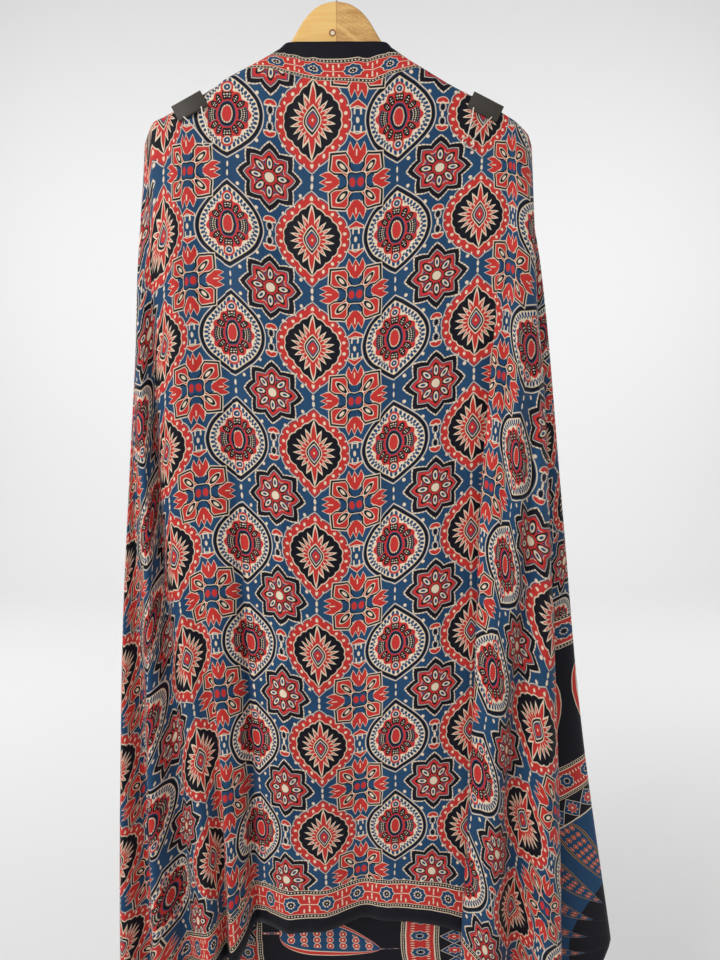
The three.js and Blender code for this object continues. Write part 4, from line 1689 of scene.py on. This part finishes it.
@dataclass
class Hook:
    """The plated wire hook, which turns over the rail and ends at the side."""

    wire: float = 3.2
    radius: float = 22.0
    top_z: float = -70.0
    first_angle: int = -62
    tip_angle: int = 205
    angle_step: int = 26
    shank: float = 12.0
    seat_gap: float = 0.3
    finish: MetalFinish = MetalFinish("plated hook wire", "CFCDC8", "A7A39C", 1.0, 0.26)

    def build(self) -> None:
        """Makes the hook."""
        ring = self.radius + self.wire / 2
        points = [Vector((0.0, 0.0, self.top_z + self.seat_gap)), Vector((0.0, 0.0, self.top_z + self.shank)),
                  Vector((1.0, 0.0, -self.radius - ring - 3.0))]
        for degrees in range(self.first_angle, self.tip_angle + 1, self.angle_step):
            angle = math.radians(degrees)
            points.append(Vector((ring * math.cos(angle), 0.0, ring * math.sin(angle) - self.radius)))
        piece = Bench.wire("hook_wire", [point * MM for point in points], self.wire)
        bpy.ops.object.shade_smooth()
        Bench.finish(piece, self.finish.material(), "hook_steel", "hook")


@dataclass
class BinderClip:
    """A folded spring plate astride the arm, with its two wire handles folded down."""

    side: str
    x: float
    z: float
    slope: float
    length: float = 41.0
    width: float = 27.0
    height: float = 20.5
    wall: float = 1.0
    lip: float = 1.9
    wire: float = 1.7
    spread: float = 25.0
    reach: float = 45.0

    def seat(self, piece: bpy.types.Object) -> None:
        """Turns a piece to the slope of the arm and sets it on its place, inside its mesh.

        Args:
            piece: the piece, made about the origin.
        """
        turn = Matrix.Rotation(math.radians(-self.slope), 4, "Y")
        piece.data.transform(Matrix.Translation((self.x * MM, 0.0, self.z * MM)) @ turn)
        piece.data.update()

    def section(self) -> list[tuple[float, float]]:
        """The plate's section across the arm, with a rolled tube along each jaw.

        Returns:
            Its corners, across the arm and up.
        """
        half = self.width / 2
        outer = [(half - 1.2, 0.0), (half, -1.2), (half, -self.height + self.lip * 1.6)]
        roll = []
        for step in range(7):
            angle = math.radians(110 - 40 * step)
            roll.append((half + self.lip * 0.5 + self.lip * 0.98 * math.cos(angle),
                         -self.height + self.lip * 0.4 + self.lip * 0.98 * math.sin(angle)))
        inner = [(half - self.wall, -self.height - self.lip * 0.2), (half - self.wall, -2.0),
                 (half - 2.0, -self.wall)]
        right = outer + roll + inner
        return right + [(-y, z) for y, z in reversed(right)]

    def handle(self, facing: int) -> list[Vector]:
        """The points of a handle: straight sides that close to a neck and a round eye below.

        Args:
            facing: -1 for the front and 1 for the back.

        Returns:
            The points in metres.
        """
        y = facing * (self.width / 2 + self.lip + 0.4 + self.wire / 2 + 0.5)
        start = -self.height + 1.0
        right = [(self.spread / 2, start), (self.spread * 0.36, -30.0),
                 (self.spread * 0.25, -42.0), (4.2, -52.0), (4.0, -53.5), (6.6, -57.0), (7.2, -60.0),
                 (4.4, -63.4)]
        line = right + [(0.0, start - self.reach + 0.3)] + [(-x, z) for x, z in reversed(right)]
        return [Vector((x, y, z)) * MM for x, z in line]

    def build(self, plate: MetalFinish, wire: MetalFinish) -> None:
        """Makes the plate and both handles.

        Args:
            plate: the plate's finish.
            wire: the handles' finish.
        """
        piece = Bench.board(f"clip_{self.side}_plate", self.section(), self.length)
        piece.data.transform(Matrix.Rotation(math.radians(90.0), 4, "Z"))
        Bench.soften(piece, 0.25)
        self.seat(piece)
        Bench.finish(piece, plate.material(), "clip_black", f"clip_{self.side}_body")
        for facing, name in ((-1, "front"), (1, "back")):
            piece = Bench.wire(f"clip_{self.side}_wire_{name}", self.handle(facing), self.wire)
            bpy.ops.object.shade_smooth()
            self.seat(piece)
            Bench.finish(piece, wire.material(), "clip_wire", f"clip_{self.side}_handle_{name}")


# The room


@dataclass
class Studio:
    """The pale floor with its curved backdrop, the soft lights and the camera."""

    floor_z: float = -1.78
    half_width: float = 4.0
    camera_place: tuple[float, float, float] = (0.029, -0.944, -0.5535)
    camera_pitch: float = -6.4
    focal_pixels: float = 720.0
    picture_height: float = 960.0
    sensor: float = 36.0

    def camera(self) -> None:
        """Places the camera at the photograph's viewing point."""
        data = bpy.data.cameras.new("camera")
        data.sensor_width = self.sensor
        data.lens = self.focal_pixels / self.picture_height * self.sensor
        data.clip_start = 0.05
        camera = bpy.data.objects.new("camera", data)
        camera.location = self.camera_place
        camera.rotation_euler = (math.radians(90 + self.camera_pitch), 0.0, 0.0)
        bpy.context.scene.collection.objects.link(camera)
        bpy.context.scene.camera = camera

    def room(self) -> None:
        """Makes the floor, which turns up into a backdrop far behind."""
        bend = 1.2
        back = 4.6
        profile = [(-6.0, self.floor_z), (back - bend, self.floor_z)]
        for step in range(1, 9):
            angle = step * math.pi / 16
            rise = bend * (1 - math.cos(angle))
            profile.append((back - bend + bend * math.sin(angle), self.floor_z + rise))
        profile.append((back, 5.0))
        points = []
        for side in (-1, 1):
            points += [(side * self.half_width * 1.6, y, z) for y, z in profile]
        count = len(profile)
        faces = [(i, i + 1, count + i + 1, count + i) for i in range(count - 1)]
        mesh = bpy.data.meshes.new("floor")
        mesh.from_pydata(points, [], faces)
        for polygon in mesh.polygons:
            polygon.use_smooth = True
        floor = bpy.data.objects.new("floor", mesh)
        bpy.context.scene.collection.objects.link(floor)
        material = bpy.data.materials.new("pale floor")
        material.use_nodes = True
        shader = material.node_tree.nodes["Principled BSDF"]
        shader.inputs["Base Color"].default_value = (0.86, 0.86, 0.86, 1.0)
        shader.inputs["Roughness"].default_value = 0.9
        mesh.materials.append(material)

    def lamp(self, name: str, place: tuple[float, float, float], aim: tuple[float, float, float],
             size: float, power: float) -> None:
        """Adds a soft square lamp.

        Args:
            name: its name.
            place: where it stands, in metres.
            aim: the point that it faces.
            size: its side in metres.
            power: its power in watts.
        """
        data = bpy.data.lights.new(name, "AREA")
        data.size = size
        data.energy = power
        lamp = bpy.data.objects.new(name, data)
        lamp.location = place
        lamp.rotation_euler = (Vector(aim) - Vector(place)).to_track_quat("-Z", "Y").to_euler()
        bpy.context.scene.collection.objects.link(lamp)

    def light(self) -> None:
        """Adds the lamps and the even light of the room."""
        world = bpy.data.worlds.new("room")
        world.use_nodes = True
        background = world.node_tree.nodes["Background"]
        background.inputs["Color"].default_value = (1.0, 1.0, 1.0, 1.0)
        background.inputs["Strength"].default_value = 0.36
        bpy.context.scene.world = world
        self.lamp("key", (-1.7, -2.0, 0.6), (0.0, 0.0, -0.7), 1.0, 43.0)
        self.lamp("fill", (1.9, -2.2, 0.4), (0.0, 0.0, -0.6), 2.0, 5.0)
        for side in (-1, 1):
            self.lamp("backdrop lamp", (side * 2.6, 1.2, 0.9), (side * 0.6, 4.6, -0.2), 2.2, 62.0)
        bpy.context.scene.view_settings.view_transform = "Standard"

    def build(self) -> None:
        """Makes the whole studio."""
        self.camera()
        self.room()
        self.light()


def main() -> None:
    """Builds and dresses everything."""
    logging.basicConfig(level=logging.INFO, format="%(message)s")
    Studio().build()
    ClothSheet().build(ClothFinish().material())
    Hanger().build()
    Hook().build()
    plate = MetalFinish("dark enamelled plate", "35302A", "453E36", 0.0, 0.6)
    wire = MetalFinish("bright clip wire", "F0EADC", "D5CDBD", 0.45, 0.38)
    BinderClip("left", -185.5, -186.0, 28.0).build(plate, wire)
    BinderClip("right", 188.0, -186.6, -26.0).build(plate, wire)


if __name__ == "__main__":
    main()
